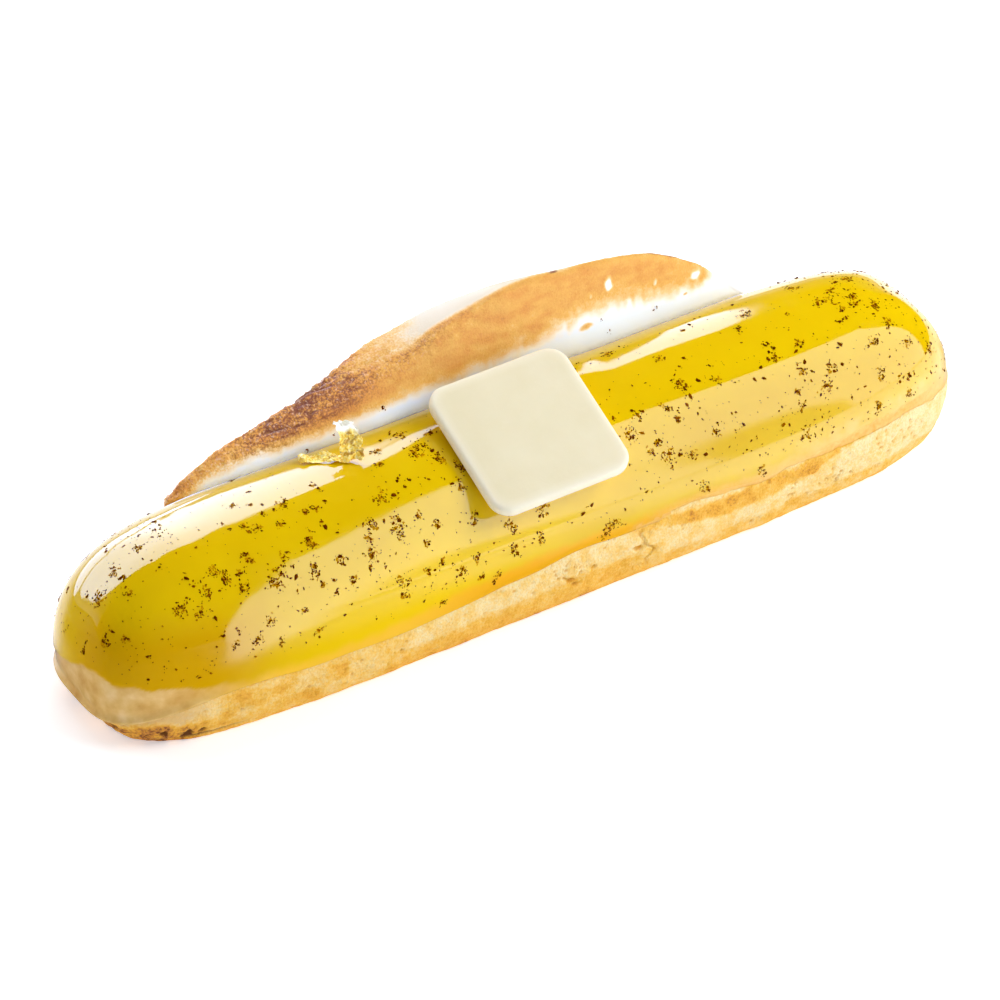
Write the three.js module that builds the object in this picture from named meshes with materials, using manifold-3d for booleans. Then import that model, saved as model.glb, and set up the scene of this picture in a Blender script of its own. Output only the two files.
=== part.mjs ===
// An eclair: a choux finger with a flat foot, a glossy glaze skin over its top, a torched meringue
// crest along the back, a flat chocolate plaque and a scrap of gold leaf.
// Millimetres. X runs along the eclair, +Y is its back, +Z is up, and the foot rests on Z = 0.
import * as THREE from "three";
import ManifoldModule from "manifold-3d";

// The glazed finger
const LENGTH = 150;
const WIDTH = 34.6;
const HEIGHT = 26;
const BELT = 8.2;            // height of the widest line
const PLAN_POWER = 3.75;     // how square the outline is, seen from above
const DOME_POWER = 2.1;      // how square the dome is, seen from the end
const FOOT = 0.925;          // foot outline as a share of the widest outline
const END_FOOT = 0.12;       // how much further the foot draws in at the two ends
const TILT = -0.9;           // the right end's top is lower, the left end's higher
const FLARE = 0.007;         // the right end is a little wider
const BEND = -1.1;           // the two ends curve a little to the front
const BEND_NULL = 0.33;
const SPINE = LENGTH / 2 - WIDTH / 2;

// Glaze skin and the gap kept between pieces
const GLAZE = 1.2;
const GAP = 0.3;
// Section angle of the glaze's lower edge along X, in degrees above the belt, and its ripple
const EDGE_LINE = [
  [-75, -27], [-66, -13], [-57, -2], [-42, -5], [-28, -6], [-14, 0], [-2, 4.5], [12, 3.5], [30, 1], [75, -3],
];
const EDGE_SWING = 1.3;
const EDGE_RIPPLE = [[9, 0.4, 0.4], [17, 2.1, 0.35], [26, 4.4, 0.25]];
const SKIRT_PROUD = 0.2;     // the bare choux stands this far out below the glaze
const SKIRT_BUMP = 0.34;
const SKIRT_RIPPLE = [[11, 1.2, 0.35], [19, 0.3, 0.35], [31, 5.1, 0.3]];

// Specks of powder on the glaze
const SPECK_CLUMPS = 144;
const SPECK_SMALL = 0.32;
const SPECK_LARGE = 0.6;
const SPECK_LOWEST = 16;     // section angles between which the specks lie, in degrees
const SPECK_HIGHEST = 86;
const SPECK_SEED = 4021;

// Meringue crest: height of its ridge along X, and the width of the flat behind the ridge
const CREST = [
  [-53, 23.3], [-48.5, 26.4], [-43, 28.7], [-32, 30.7], [-12, 33.8], [-4, 36.6], [6, 38.5],
  [22, 37.1], [31, 35.2], [38.5, 31.2], [45, 25.6], [48.5, 22.2],
];
const CREST_Y = 10;
const CREST_FOOT_Y = 6.6;
const CREST_BACK_Y = 15.6;
const CREST_TIP_Y = 10.2;

// Plaque
const PLAQUE_SIDE = 23.4;
const PLAQUE_THICK = 2;
const PLAQUE_CORNER = 3.2;
const PLAQUE_X = -1.5;
const PLAQUE_Y = -6.4;
const PLAQUE_YAW = -0.6;
const PLAQUE_ROLL = -2.6;    // its right side is lifted a little off the dome

// Gold leaf: a crumpled tail lying on the glaze, then a curl that stands up
const LEAF_X = -35;
const LEAF_Y = 3.6;
const LEAF_TAIL = 8.4;
const LEAF_RISE = 5.6;
const LEAF_WIDE = 3.4;
const LEAF_THICK = 0.16;

const ROUND = 116;           // points round each outline
const RAD = Math.PI / 180;

// A smooth repeatable ripple round the outline, between about -1 and 1.
function ripple(turn, terms) {
  let sum = 0;
  for (const [count, phase, share] of terms) {
    sum += share * Math.sin(count * turn + phase);
  }
  return sum;
}

// A seeded random number source.
function randomSource(seed) {
  let state = seed >>> 0;
  return () => {
    state = (Math.imul(state, 1664525) + 1013904223) >>> 0;
    return state / 4294967296;
  };
}

// A smooth curve through a short list of [x, value] pairs.
function along(list, x) {
  const last = list.length - 1;
  let i = 0;
  while (i < last - 1 && x > list[i + 1][0]) {
    i += 1;
  }
  const slope = (k) => {
    const a = list[Math.max(0, k - 1)];
    const b = list[Math.min(last, k + 1)];
    return (b[1] - a[1]) / (b[0] - a[0]);
  };
  const [x0, v0] = list[i];
  const [x1, v1] = list[i + 1];
  const span = x1 - x0;
  const t = Math.min(1, Math.max(0, (x - x0) / span));
  const t2 = t * t;
  const t3 = t2 * t;
  return v0 * (2 * t3 - 3 * t2 + 1) + v1 * (3 * t2 - 2 * t3)
    + span * (slope(i) * (t3 - 2 * t2 + t) + slope(i + 1) * (t3 - t2));
}

// Points of the outline at even steps of its length, as shares of the half length and half width.
function outlineStations() {
  const fine = 4000;
  const quarter = [];
  let run = 0;
  for (let i = 0; i <= fine; i += 1) {
    const t = (i / fine) * (Math.PI / 2);
    const ux = Math.cos(t) ** (2 / PLAN_POWER);
    const uy = Math.sin(t) ** (2 / PLAN_POWER);
    if (i > 0) {
      const before = quarter[i - 1];
      run += Math.hypot((ux - before.ux) * LENGTH, (uy - before.uy) * WIDTH);
    }
    quarter.push({ ux: i === fine ? 0 : ux, uy, run });
  }
  const steps = ROUND / 4;
  const picked = [];
  let k = 0;
  for (let i = 0; i <= steps; i += 1) {
    const want = (run * i) / steps;
    while (k < fine && quarter[k].run < want) {
      k += 1;
    }
    picked.push(quarter[k]);
  }
  const stations = [];
  for (let j = 0; j < ROUND; j += 1) {
    const lap = Math.floor(j / steps);
    const rest = j % steps;
    const spot = lap % 2 === 0 ? picked[rest] : picked[steps - rest];
    const signX = lap === 0 || lap === 3 ? 1 : -1;
    const signY = lap < 2 ? 1 : -1;
    stations.push({ ux: signX * spot.ux, uy: signY * spot.uy, turn: (2 * Math.PI * j) / ROUND });
  }
  return stations;
}

const STATIONS = outlineStations();

// A point of the glazed finger's surface, moved in by an inset. The angle is 0 at the belt,
// 90 degrees at the crown and -90 degrees at the foot.
function shellPoint(station, angle, inset) {
  const outX = (LENGTH / 2 - inset) * station.ux;
  const outY = (WIDTH / 2 - inset) * station.uy * (1 + FLARE * station.ux);
  const spineX = Math.min(SPINE, Math.max(-SPINE, outX));
  const crown = HEIGHT - inset + (TILT * spineX) / SPINE;
  let reach;
  let z;
  if (angle >= 0) {
    reach = Math.max(0, Math.cos(angle)) ** (2 / DOME_POWER);
    z = BELT + (crown - BELT) * Math.sin(angle) ** (2 / DOME_POWER);
  } else {
    const endShare = Math.max(0, Math.abs(outX) - SPINE) / (LENGTH / 2 - SPINE);
    const foot = FOOT - END_FOOT * endShare * endShare;
    reach = foot + (1 - foot) * Math.max(0, Math.cos(angle));
    z = BELT * (1 + Math.sin(angle));
  }
  const x = spineX + (outX - spineX) * reach;
  return new THREE.Vector3(x, outY * reach + bendAt(x), z);
}

// Half width of the dome at X, and how far the finger's bend moves its middle there.
function domeHalf(x) {
  const ux = x / (LENGTH / 2);
  return (WIDTH / 2) * (1 - Math.abs(ux) ** PLAN_POWER) ** (1 / PLAN_POWER) * (1 + FLARE * ux);
}

function bendAt(x) {
  return BEND * ((x / (LENGTH / 2)) ** 2 - BEND_NULL);
}

// Height of the glazed dome above a point of the straight part of the finger.
function domeHeight(x, y) {
  const across = Math.min(1, Math.abs(y - bendAt(x)) / domeHalf(x));
  const crown = HEIGHT + (TILT * x) / SPINE;
  return BELT + (crown - BELT) * (1 - across ** DOME_POWER) ** (1 / DOME_POWER);
}

// Outward direction of the dome above a point.
function domeNormal(x, y) {
  const step = 0.05;
  const slopeX = (domeHeight(x + step, y) - domeHeight(x - step, y)) / (2 * step);
  const slopeY = (domeHeight(x, y + step) - domeHeight(x, y - step)) / (2 * step);
  return new THREE.Vector3(-slopeX, -slopeY, 1).normalize();
}

// Section angle of the glaze's lower edge at one station of the outline, in degrees.
function glazeEdge(station) {
  return along(EDGE_LINE, (LENGTH / 2) * station.ux) + EDGE_SWING * ripple(station.turn, EDGE_RIPPLE);
}

function meshGeometry(points, faces) {
  const geometry = new THREE.BufferGeometry();
  const flat = new Float32Array(points.length * 3);
  points.forEach((p, i) => p.toArray(flat, i * 3));
  geometry.setAttribute("position", new THREE.BufferAttribute(flat, 3));
  geometry.setIndex(faces.flat());
  geometry.computeVertexNormals();
  return geometry;
}

// Triangles that close a ring whose two halves mirror each other, running straight across it.
function zipFaces(start, count) {
  const faces = [[start, start + 1, start + count - 1]];
  for (let j = 1; j < count / 2 - 1; j += 1) {
    faces.push([start + j, start + j + 1, start + count - j - 1]);
    faces.push([start + j, start + count - j - 1, start + count - j]);
  }
  const middle = start + count / 2;
  faces.push([middle - 1, middle, middle + 1]);
  return faces;
}

// Triangles that close a ring with a fan round a middle point, which is added to the points.
function fanFaces(points, start, count) {
  const middle = new THREE.Vector3();
  for (let j = 0; j < count; j += 1) {
    middle.add(points[start + j]);
  }
  points.push(middle.divideScalar(count));
  const hub = points.length - 1;
  return Array.from({ length: count }, (_, j) => [start + j, start + ((j + 1) % count), hub]);
}

// A closed solid through a stack of rings of equal count, shut at both ends.
function stackGeometry(rings, zipped) {
  const count = rings[0].length;
  const points = rings.flat();
  const faces = [];
  for (let r = 0; r + 1 < rings.length; r += 1) {
    for (let j = 0; j < count; j += 1) {
      const a = r * count + j;
      const b = r * count + ((j + 1) % count);
      faces.push([a, b, b + count], [a, b + count, a + count]);
    }
  }
  const lastStart = (rings.length - 1) * count;
  const first = zipped ? zipFaces(0, count) : fanFaces(points, 0, count);
  const last = zipped ? zipFaces(lastStart, count) : fanFaces(points, lastStart, count);
  first.forEach((face) => faces.push([face[0], face[2], face[1]]));
  faces.push(...last);
  return meshGeometry(points, faces);
}

// The choux finger: foot, bumpy bare skirt, a ledge under the glaze, then the dome the glaze covers.
function chouxGeometry() {
  const rings = [];
  for (const share of [0, 0.16, 0.34, 0.52, 0.7, 0.87, 1]) {
    rings.push(STATIONS.map((station) => {
      const angle = (-90 + (glazeEdge(station) + 90) * share) * RAD;
      const bump = SKIRT_BUMP * ripple(station.turn, SKIRT_RIPPLE) * Math.sin(Math.PI * share);
      const proud = share === 0 ? 0 : SKIRT_PROUD * Math.min(1, share * 2);
      return shellPoint(station, angle, -proud - bump);
    }));
  }
  const under = GLAZE + GAP;
  for (const share of [0, 0.16, 0.32, 0.48, 0.63, 0.78, 0.92]) {
    rings.push(STATIONS.map((station) => {
      const low = glazeEdge(station) + 1.2;
      return shellPoint(station, (low + (90 - low) * share) * RAD, under);
    }));
  }
  rings[0].forEach((p) => p.setZ(0));
  return stackGeometry(rings, true);
}

// The glaze skin: its inner face from the crown down to the lip, then its outer face up again.
function glazeGeometry() {
  const rings = [];
  for (const share of [0.92, 0.77, 0.6, 0.43, 0.26, 0.1, 0]) {
    rings.push(STATIONS.map((station) => {
      const low = glazeEdge(station) + 4.2;
      return shellPoint(station, (low + (90 - low) * share) * RAD, GLAZE);
    }));
  }
  const lip = [[3.4, 0.75], [4.6, 0.32], [8, 0.06]];
  for (const [above, inset] of lip) {
    rings.push(STATIONS.map((station) => shellPoint(station, (glazeEdge(station) + above) * RAD, inset)));
  }
  for (const share of [0.08, 0.2, 0.33, 0.46, 0.59, 0.71, 0.82, 0.92]) {
    rings.push(STATIONS.map((station) => {
      const low = glazeEdge(station) + 8;
      return shellPoint(station, (low + (90 - low) * share) * RAD, 0);
    }));
  }
  return stackGeometry(rings, true);
}

// A place round the outline between two of its stations.
function stationAt(place) {
  const low = Math.floor(place);
  const share = place - low;
  const a = STATIONS[(low + ROUND) % ROUND];
  const b = STATIONS[(low + 1 + ROUND) % ROUND];
  return { ux: a.ux + (b.ux - a.ux) * share, uy: a.uy + (b.uy - a.uy) * share };
}

// Whether a point of the glaze is clear of the plaque, the gold leaf and the meringue.
function isBare(spot) {
  const onPlaque = Math.abs(spot.x - PLAQUE_X) < 13.4 && spot.y > -15.4 && spot.y < 4.2;
  const onLeaf = spot.x > LEAF_X - 2 && spot.x < LEAF_X + 14 && spot.y > -1.5 && spot.y < 7;
  const onMeringue = spot.x > -56 && spot.x < 51.5 && spot.y > CREST_FOOT_Y - 1.4 && spot.z > 13;
  return !onPlaque && !onLeaf && !onMeringue;
}

// Where the specks lie, in loose clumps of up to three, each with its outward direction and radius.
function speckSpots() {
  const draw = randomSource(SPECK_SEED);
  const spots = [];
  for (let clump = 0; clump < SPECK_CLUMPS; clump += 1) {
    const middlePlace = (ROUND * (clump + draw())) / SPECK_CLUMPS;
    const middleAngle = SPECK_LOWEST + (SPECK_HIGHEST - SPECK_LOWEST) * draw();
    const grains = 1 + Math.floor(3 * draw());
    for (let grain = 0; grain < grains; grain += 1) {
      const place = middlePlace + 1.2 * (draw() - 0.5);
      const angle = Math.min(SPECK_HIGHEST, middleAngle + 9 * (draw() - 0.5)) * RAD;
      const radius = SPECK_SMALL + (SPECK_LARGE - SPECK_SMALL) * draw();
      const spot = shellPoint(stationAt(place), angle, 0);
      const round = shellPoint(stationAt(place + 0.3), angle, 0).sub(spot);
      const upward = shellPoint(stationAt(place), angle + 0.02, 0).sub(spot);
      const crowded = Math.abs(spot.x) > SPINE && draw() > Math.cos(angle);
      if (isBare(spot) && !crowded) {
        spots.push({ spot, normal: round.cross(upward).normalize(), radius });
      }
    }
  }
  return spots;
}

// One speck: an uneven grain of eight faces, half sunk in the glaze.
function speckGeometry({ spot, normal, radius }, draw) {
  const grain = new THREE.OctahedronGeometry(radius, 0);
  const turn = new THREE.Quaternion().setFromUnitVectors(new THREE.Vector3(0, 0, 1), normal);
  grain.scale(0.8 + 0.6 * draw(), 0.7 + 0.5 * draw(), 0.75);
  grain.rotateZ(draw() * Math.PI);
  grain.applyQuaternion(turn);
  grain.translate(spot.x, spot.y, spot.z);
  return grain;
}

// The glaze with its specks joined to it as one body.
async function speckledGlaze() {
  const wasm = await ManifoldModule();
  wasm.setup();
  const { Manifold, Mesh } = wasm;
  const solidOf = (geometry) => {
    const position = geometry.getAttribute("position");
    const plain = Uint32Array.from({ length: position.count }, (_, i) => i);
    const mesh = new Mesh({
      numProp: 3,
      vertProperties: new Float32Array(position.array),
      triVerts: geometry.index ? new Uint32Array(geometry.index.array) : plain,
    });
    mesh.merge();
    return new Manifold(mesh);
  };
  const draw = randomSource(SPECK_SEED + 1);
  const grains = speckSpots().map((spot) => solidOf(speckGeometry(spot, draw)));
  const joined = Manifold.union([solidOf(glazeGeometry()), ...grains]).getMesh();
  const geometry = new THREE.BufferGeometry();
  geometry.setAttribute("position", new THREE.BufferAttribute(Float32Array.from(joined.vertProperties), 3));
  geometry.setIndex(new THREE.BufferAttribute(Uint32Array.from(joined.triVerts), 1));
  geometry.computeVertexNormals();
  return geometry;
}

// One cross-section of the meringue at X: up the front face to the ridge, back over the flat behind
// it, down the rounded back, then along the dome to the front foot again.
function meringueRing(x) {
  const tipLeft = CREST[0][0];
  const tipRight = CREST[CREST.length - 1][0];
  const way = (x - tipLeft) / (tipRight - tipLeft);
  const full = Math.min(1, Math.sqrt(Math.sin(Math.PI * Math.min(1, Math.max(0, way))) + 0.02) * 1.06);
  const footY = CREST_TIP_Y + (CREST_FOOT_Y - CREST_TIP_Y) * full;
  const backY = CREST_TIP_Y + (CREST_BACK_Y - CREST_TIP_Y) * full;
  const ridgeY = CREST_TIP_Y + (CREST_Y - CREST_TIP_Y) * full;
  const flat = (1 + 4.3 * Math.exp(-(((x + 11) / 14) ** 2))) * full;
  const rise = (0.4 + 1.1 * Math.exp(-(((x + 21) / 13) ** 2))) * full;
  const seat = (y) => domeHeight(x, y) + 1.5 * GAP;
  const front = new THREE.Vector2(footY, seat(footY));
  const ridge = new THREE.Vector2(ridgeY, Math.max(along(CREST, x), seat(ridgeY) + 0.5));
  const top = new THREE.Vector2(ridgeY + flat, ridge.y + rise);
  const back = new THREE.Vector2(backY, seat(backY));
  const bend = (from, to, out, steps, withEnd) => {
    const middle = from.clone().add(to).multiplyScalar(0.5).add(out);
    const curve = new THREE.QuadraticBezierCurve(from, middle, to);
    const picked = [];
    for (let i = 0; i < steps + (withEnd ? 1 : 0); i += 1) {
      picked.push(curve.getPoint(i / steps));
    }
    return picked;
  };
  const section = [
    ...bend(front, ridge, new THREE.Vector2(-1.5 * full, 0.4 * full), 5, false),
    ...bend(ridge, top, new THREE.Vector2(0, 0.5 * full), 3, false),
    ...bend(top, back, new THREE.Vector2(2.6 * full, 1.2 * full), 6, true),
  ];
  const under = 4;
  for (let i = 1; i < under; i += 1) {
    const y = backY + ((footY - backY) * i) / under;
    section.push(new THREE.Vector2(y, seat(y)));
  }
  return section.map((p) => new THREE.Vector3(x, p.x, p.y)).reverse();
}

function meringueGeometry() {
  const steps = 44;
  const tipLeft = CREST[0][0];
  const tipRight = CREST[CREST.length - 1][0];
  const rings = [];
  for (let i = 0; i <= steps; i += 1) {
    const share = 0.5 - 0.5 * Math.cos(Math.PI * (0.04 + (0.92 * i) / steps));
    rings.push(meringueRing(tipLeft + (tipRight - tipLeft) * share));
  }
  return stackGeometry(rings, false);
}

// A square plate with round corners and soft edges, its underside at Z = 0.
function plaqueGeometry() {
  const turns = 6;
  const outline = (inset) => {
    const half = PLAQUE_SIDE / 2 - inset;
    const radius = PLAQUE_CORNER - inset;
    const points = [];
    for (let corner = 0; corner < 4; corner += 1) {
      const signX = corner === 0 || corner === 3 ? 1 : -1;
      const signY = corner < 2 ? 1 : -1;
      for (let i = 0; i <= turns; i += 1) {
        const angle = (corner + i / turns) * 90 * RAD;
        const x = signX * (half - radius) + radius * Math.cos(angle);
        const y = signY * (half - radius) + radius * Math.sin(angle);
        points.push([x, y]);
      }
    }
    return points;
  };
  const profile = [[0.6, 0], [0.15, 0.2], [0, 0.6], [0, 1.3], [0.2, 1.75], [0.75, PLAQUE_THICK]];
  const rings = profile.map(([inset, z]) => outline(inset).map(([x, y]) => new THREE.Vector3(x, y, z)));
  return stackGeometry(rings, false);
}

// Middle surface of the gold leaf: u runs from the tail's end to the curl's top, v across it.
function leafPoint(u, v) {
  const tailShare = 0.52;
  const across = (v - 0.5) * LEAF_WIDE;
  const crumple = 0.32 * Math.sin(23 * u + 3 * v) + 0.24 * Math.sin(41 * u - 9 * v + 1.3);
  if (u < tailShare) {
    const run = u / tailShare;
    const narrow = 0.45 + 0.4 * run;
    const x = LEAF_X + LEAF_TAIL * run;
    const y = LEAF_Y - 2.2 * run + across * narrow;
    const lift = 0.9 + 0.35 * Math.sin(9 * run) + 0.5 * crumple;
    return new THREE.Vector3(x, y, domeHeight(x, y) + lift);
  }
  const climb = (u - tailShare) / (1 - tailShare);
  const turn = Math.min(1, climb / 0.35);
  const rootX = LEAF_X + LEAF_TAIL;
  const rootY = LEAF_Y - 2.2;
  const wide = 0.85 + 0.3 * Math.sin(Math.PI * climb);
  const x = rootX + 1.4 * Math.sin(1.7 * climb) + across * wide * turn + 0.5 * crumple;
  const y = rootY + across * wide * (1 - turn) * 0.9 + 0.9 * Math.sin(2.6 * climb) + 1.2 * crumple * climb;
  const z = domeHeight(rootX, rootY) + 0.9 + LEAF_RISE * climb + 0.4 * across * turn * climb;
  return new THREE.Vector3(x, y, z);
}

// The gold leaf as a thin wavy solid, with both faces split into triangles alike.
function leafGeometry() {
  const stepsU = 26;
  const stepsV = 6;
  const points = [];
  const faces = [];
  for (const side of [-0.5, 0.5]) {
    for (let i = 0; i <= stepsU; i += 1) {
      for (let j = 0; j <= stepsV; j += 1) {
        const u = i / stepsU;
        const v = j / stepsV;
        const step = 0.004;
        const alongU = leafPoint(Math.min(1, u + step), v).sub(leafPoint(Math.max(0, u - step), v));
        const alongV = leafPoint(u, Math.min(1, v + step)).sub(leafPoint(u, Math.max(0, v - step)));
        const normal = alongU.cross(alongV).normalize();
        points.push(leafPoint(u, v).addScaledVector(normal, side * LEAF_THICK));
      }
    }
  }
  const row = stepsV + 1;
  const layer = row * (stepsU + 1);
  for (let i = 0; i < stepsU; i += 1) {
    for (let j = 0; j < stepsV; j += 1) {
      const a = i * row + j;
      const b = a + row;
      faces.push([a, a + 1, b + 1], [a, b + 1, b]);
      faces.push([a + layer, b + 1 + layer, a + 1 + layer], [a + layer, b + layer, b + 1 + layer]);
    }
  }
  const rim = [];
  for (let j = 0; j < stepsV; j += 1) {
    rim.push(j);
  }
  for (let i = 0; i < stepsU; i += 1) {
    rim.push(i * row + stepsV);
  }
  for (let j = stepsV; j > 0; j -= 1) {
    rim.push(stepsU * row + j);
  }
  for (let i = stepsU; i > 0; i -= 1) {
    rim.push(i * row);
  }
  rim.forEach((a, k) => {
    const b = rim[(k + 1) % rim.length];
    faces.push([a, a + layer, b + layer], [a, b + layer, b]);
  });
  return meshGeometry(points, faces);
}

// Six times the volume that a closed mesh holds: negative when its faces look inwards.
function signedVolume(geometry) {
  const position = geometry.getAttribute("position");
  const order = geometry.index.array;
  const at = (i) => new THREE.Vector3().fromBufferAttribute(position, order[i]);
  let sum = 0;
  for (let i = 0; i < order.length; i += 3) {
    sum += at(i).dot(at(i + 1).cross(at(i + 2)));
  }
  return sum;
}

function faceOut(geometry) {
  if (signedVolume(geometry) < 0) {
    const order = Array.from(geometry.index.array);
    for (let i = 0; i < order.length; i += 3) {
      [order[i], order[i + 1]] = [order[i + 1], order[i]];
    }
    geometry.setIndex(order);
    geometry.computeVertexNormals();
  }
  return geometry;
}

function namedMesh(name, geometry, color, roughness, metalness) {
  const material = new THREE.MeshStandardMaterial({ color, roughness, metalness });
  const mesh = new THREE.Mesh(faceOut(geometry), material);
  mesh.name = name;
  return mesh;
}

const eclair = new THREE.Group();
eclair.name = "eclair";

const choux = namedMesh("choux", chouxGeometry(), 0xe6b469, 0.75, 0);
const glaze = namedMesh("glaze", await speckledGlaze(), 0xe8c108, 0.12, 0);
const meringue = namedMesh("meringue", meringueGeometry(), 0xefd3a8, 0.7, 0);
const plaque = namedMesh("plaque", plaqueGeometry(), 0xefe6cd, 0.4, 0);
const leaf = namedMesh("gold_leaf", leafGeometry(), 0xd8a62a, 0.25, 1);

// The plaque lies against the dome and touches it at the left end of one line.
const plaqueNormal = domeNormal(PLAQUE_X, PLAQUE_Y);
const plaqueLift = GAP + (PLAQUE_SIDE / 2) * Math.abs(Math.sin(PLAQUE_ROLL * RAD));
plaque.quaternion
  .setFromUnitVectors(new THREE.Vector3(0, 0, 1), plaqueNormal)
  .multiply(new THREE.Quaternion().setFromEuler(new THREE.Euler(0, PLAQUE_ROLL * RAD, PLAQUE_YAW * RAD)));
plaque.position
  .set(PLAQUE_X, PLAQUE_Y, domeHeight(PLAQUE_X, PLAQUE_Y))
  .addScaledVector(plaqueNormal, plaqueLift);

eclair.add(choux, glaze, meringue, plaque, leaf);

// The frame's origin is the middle of the whole box, on the floor.
eclair.updateMatrixWorld(true);
const middle = new THREE.Box3().setFromObject(eclair, true).getCenter(new THREE.Vector3());
eclair.position.set(-middle.x, -middle.y, 0);

export default eclair;
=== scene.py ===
"""Looks of a glazed eclair: choux, glossy glaze with specks, torched meringue, plaque and gold leaf.

Shapes are worked out in millimetres from the same named values as the part, then moved into its frame.
"""
import math

import bpy
import numpy as np
from mathutils import Matrix, Vector
from mathutils.bvhtree import BVHTree

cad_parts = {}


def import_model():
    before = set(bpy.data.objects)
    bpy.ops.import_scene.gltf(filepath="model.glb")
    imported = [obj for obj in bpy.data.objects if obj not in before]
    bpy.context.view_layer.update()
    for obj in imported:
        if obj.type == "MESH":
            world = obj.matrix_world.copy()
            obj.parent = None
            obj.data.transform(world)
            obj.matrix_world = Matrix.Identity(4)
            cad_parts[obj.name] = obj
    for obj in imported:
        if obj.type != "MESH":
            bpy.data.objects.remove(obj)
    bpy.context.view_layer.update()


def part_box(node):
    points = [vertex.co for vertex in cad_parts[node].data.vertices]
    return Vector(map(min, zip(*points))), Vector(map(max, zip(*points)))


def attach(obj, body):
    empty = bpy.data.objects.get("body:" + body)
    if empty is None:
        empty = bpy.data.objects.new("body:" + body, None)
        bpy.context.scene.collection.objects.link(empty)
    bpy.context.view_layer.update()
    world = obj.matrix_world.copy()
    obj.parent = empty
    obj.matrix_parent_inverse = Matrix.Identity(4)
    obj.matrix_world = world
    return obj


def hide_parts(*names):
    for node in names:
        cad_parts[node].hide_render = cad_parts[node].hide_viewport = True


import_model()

MM = 0.001

# The glazed finger, as in the part
LENGTH = 150.0
WIDTH = 34.6
HEIGHT = 26.0
BELT = 8.2
PLAN_POWER = 3.75
DOME_POWER = 2.1
FOOT = 0.925
END_FOOT = 0.12
TILT = -0.9
FLARE = 0.007
BEND = -1.1
BEND_NULL = 0.33
SPINE = LENGTH / 2 - WIDTH / 2
GLAZE = 1.2
GAP = 0.3
# Section angle of the glaze's lower edge along X, in degrees, and its waves
EDGE_LINE = [
    (-75, -27), (-66, -13), (-57, -2), (-42, -5), (-28, -6),
    (-14, 0), (-2, 4.5), (12, 3.5), (30, 1), (75, -3),
]
EDGE_SWING = 1.3
EDGE_RIPPLE = [(9, 0.4, 0.4), (17, 2.1, 0.35), (26, 4.4, 0.25)]
SKIRT_PROUD = 0.2
SKIRT_BUMP = 0.34
SKIRT_RIPPLE = [(11, 1.2, 0.35), (19, 0.3, 0.35), (31, 5.1, 0.3)]

# Specks, as in the part
SPECK_ROUND = 116
SPECK_CLUMPS = 144
SPECK_SMALL = 0.32
SPECK_LARGE = 0.6
SPECK_LOWEST = 16
SPECK_HIGHEST = 86
SPECK_SEED = 4021

# Meringue crest, as in the part
CREST = [
    (-53, 23.3), (-48.5, 26.4), (-43, 28.7), (-32, 30.7), (-12, 33.8), (-4, 36.6), (6, 38.5),
    (22, 37.1), (31, 35.2), (38.5, 31.2), (45, 25.6), (48.5, 22.2),
]
CREST_Y = 10.0
CREST_FOOT_Y = 6.6
CREST_BACK_Y = 15.6
CREST_TIP_Y = 10.2

# Plaque, as in the part
PLAQUE_SIDE = 23.4
PLAQUE_THICK = 2.0
PLAQUE_CORNER = 3.2
PLAQUE_X = -1.5
PLAQUE_Y = -6.4
PLAQUE_YAW = -0.6
PLAQUE_ROLL = -2.6

# Gold leaf, as in the part
LEAF_X = -35.0
LEAF_Y = 3.6
LEAF_TAIL = 8.4
LEAF_RISE = 5.6
LEAF_WIDE = 3.4
LEAF_THICK = 0.16

# Camera: the photo's viewing angle, distance and focal length in pixels of a 1000-pixel frame
VIEW_AZIMUTH = -32.4766
VIEW_ELEVATION = 37.3181
VIEW_DISTANCE = 802.85
VIEW_FOCAL = 5398.56
VIEW_MIDDLE = (511.46, 476.63)
VIEW_TARGET = np.array([0.0, 0.0, 13.0])
FRAME_PIXELS = 1000.0
SENSOR = 36.0


# Number helpers

def smooth(low, high, value):
    """0 below low, 1 above high and a soft step between them."""
    t = np.clip((value - low) / (high - low), 0, 1)
    return t * t * (3 - 2 * t)


def bell(value, middle, width):
    return np.exp(-(((value - middle) / width) ** 2))


def ripple(turn, terms):
    return sum(share * np.sin(count * turn + phase) for count, phase, share in terms)


def parts(points):
    """X, Y and Z of an array of points."""
    return points[..., 0], points[..., 1], points[..., 2]


def unit(vectors):
    return vectors / np.maximum(np.linalg.norm(vectors, axis=-1, keepdims=True), 1e-9)


def reach_from(points, spot, stretch):
    """Distance from a spot, measured in a stretched space."""
    return np.linalg.norm((points - np.array(spot)) / np.array(stretch), axis=-1)


def random_source(seed):
    """The part's own seeded random numbers, so its specks can be found again."""
    factor = 1664525
    step = 1013904223
    limit = 4294967296
    state = seed

    def draw():
        nonlocal state
        state = (state * factor + step) % limit
        return state / limit

    return draw


def along(pairs, x):
    """A smooth curve through a short list of (x, value) pairs."""
    at = np.array([p[0] for p in pairs], float)
    value = np.array([p[1] for p in pairs], float)
    last = len(at) - 1
    after = np.minimum(np.arange(last + 1) + 1, last)
    before = np.maximum(np.arange(last + 1) - 1, 0)
    slope = (value[after] - value[before]) / (at[after] - at[before])
    x = np.asarray(x, float)
    i = np.clip(np.searchsorted(at, x) - 1, 0, last - 1)
    span = at[i + 1] - at[i]
    t = np.clip((x - at[i]) / span, 0, 1)
    t2 = t * t
    t3 = t2 * t
    ends = value[i] * (2 * t3 - 3 * t2 + 1) + value[i + 1] * (3 * t2 - 2 * t3)
    return ends + span * (slope[i] * (t3 - 2 * t2 + t) + slope[i + 1] * (t3 - t2))


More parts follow.
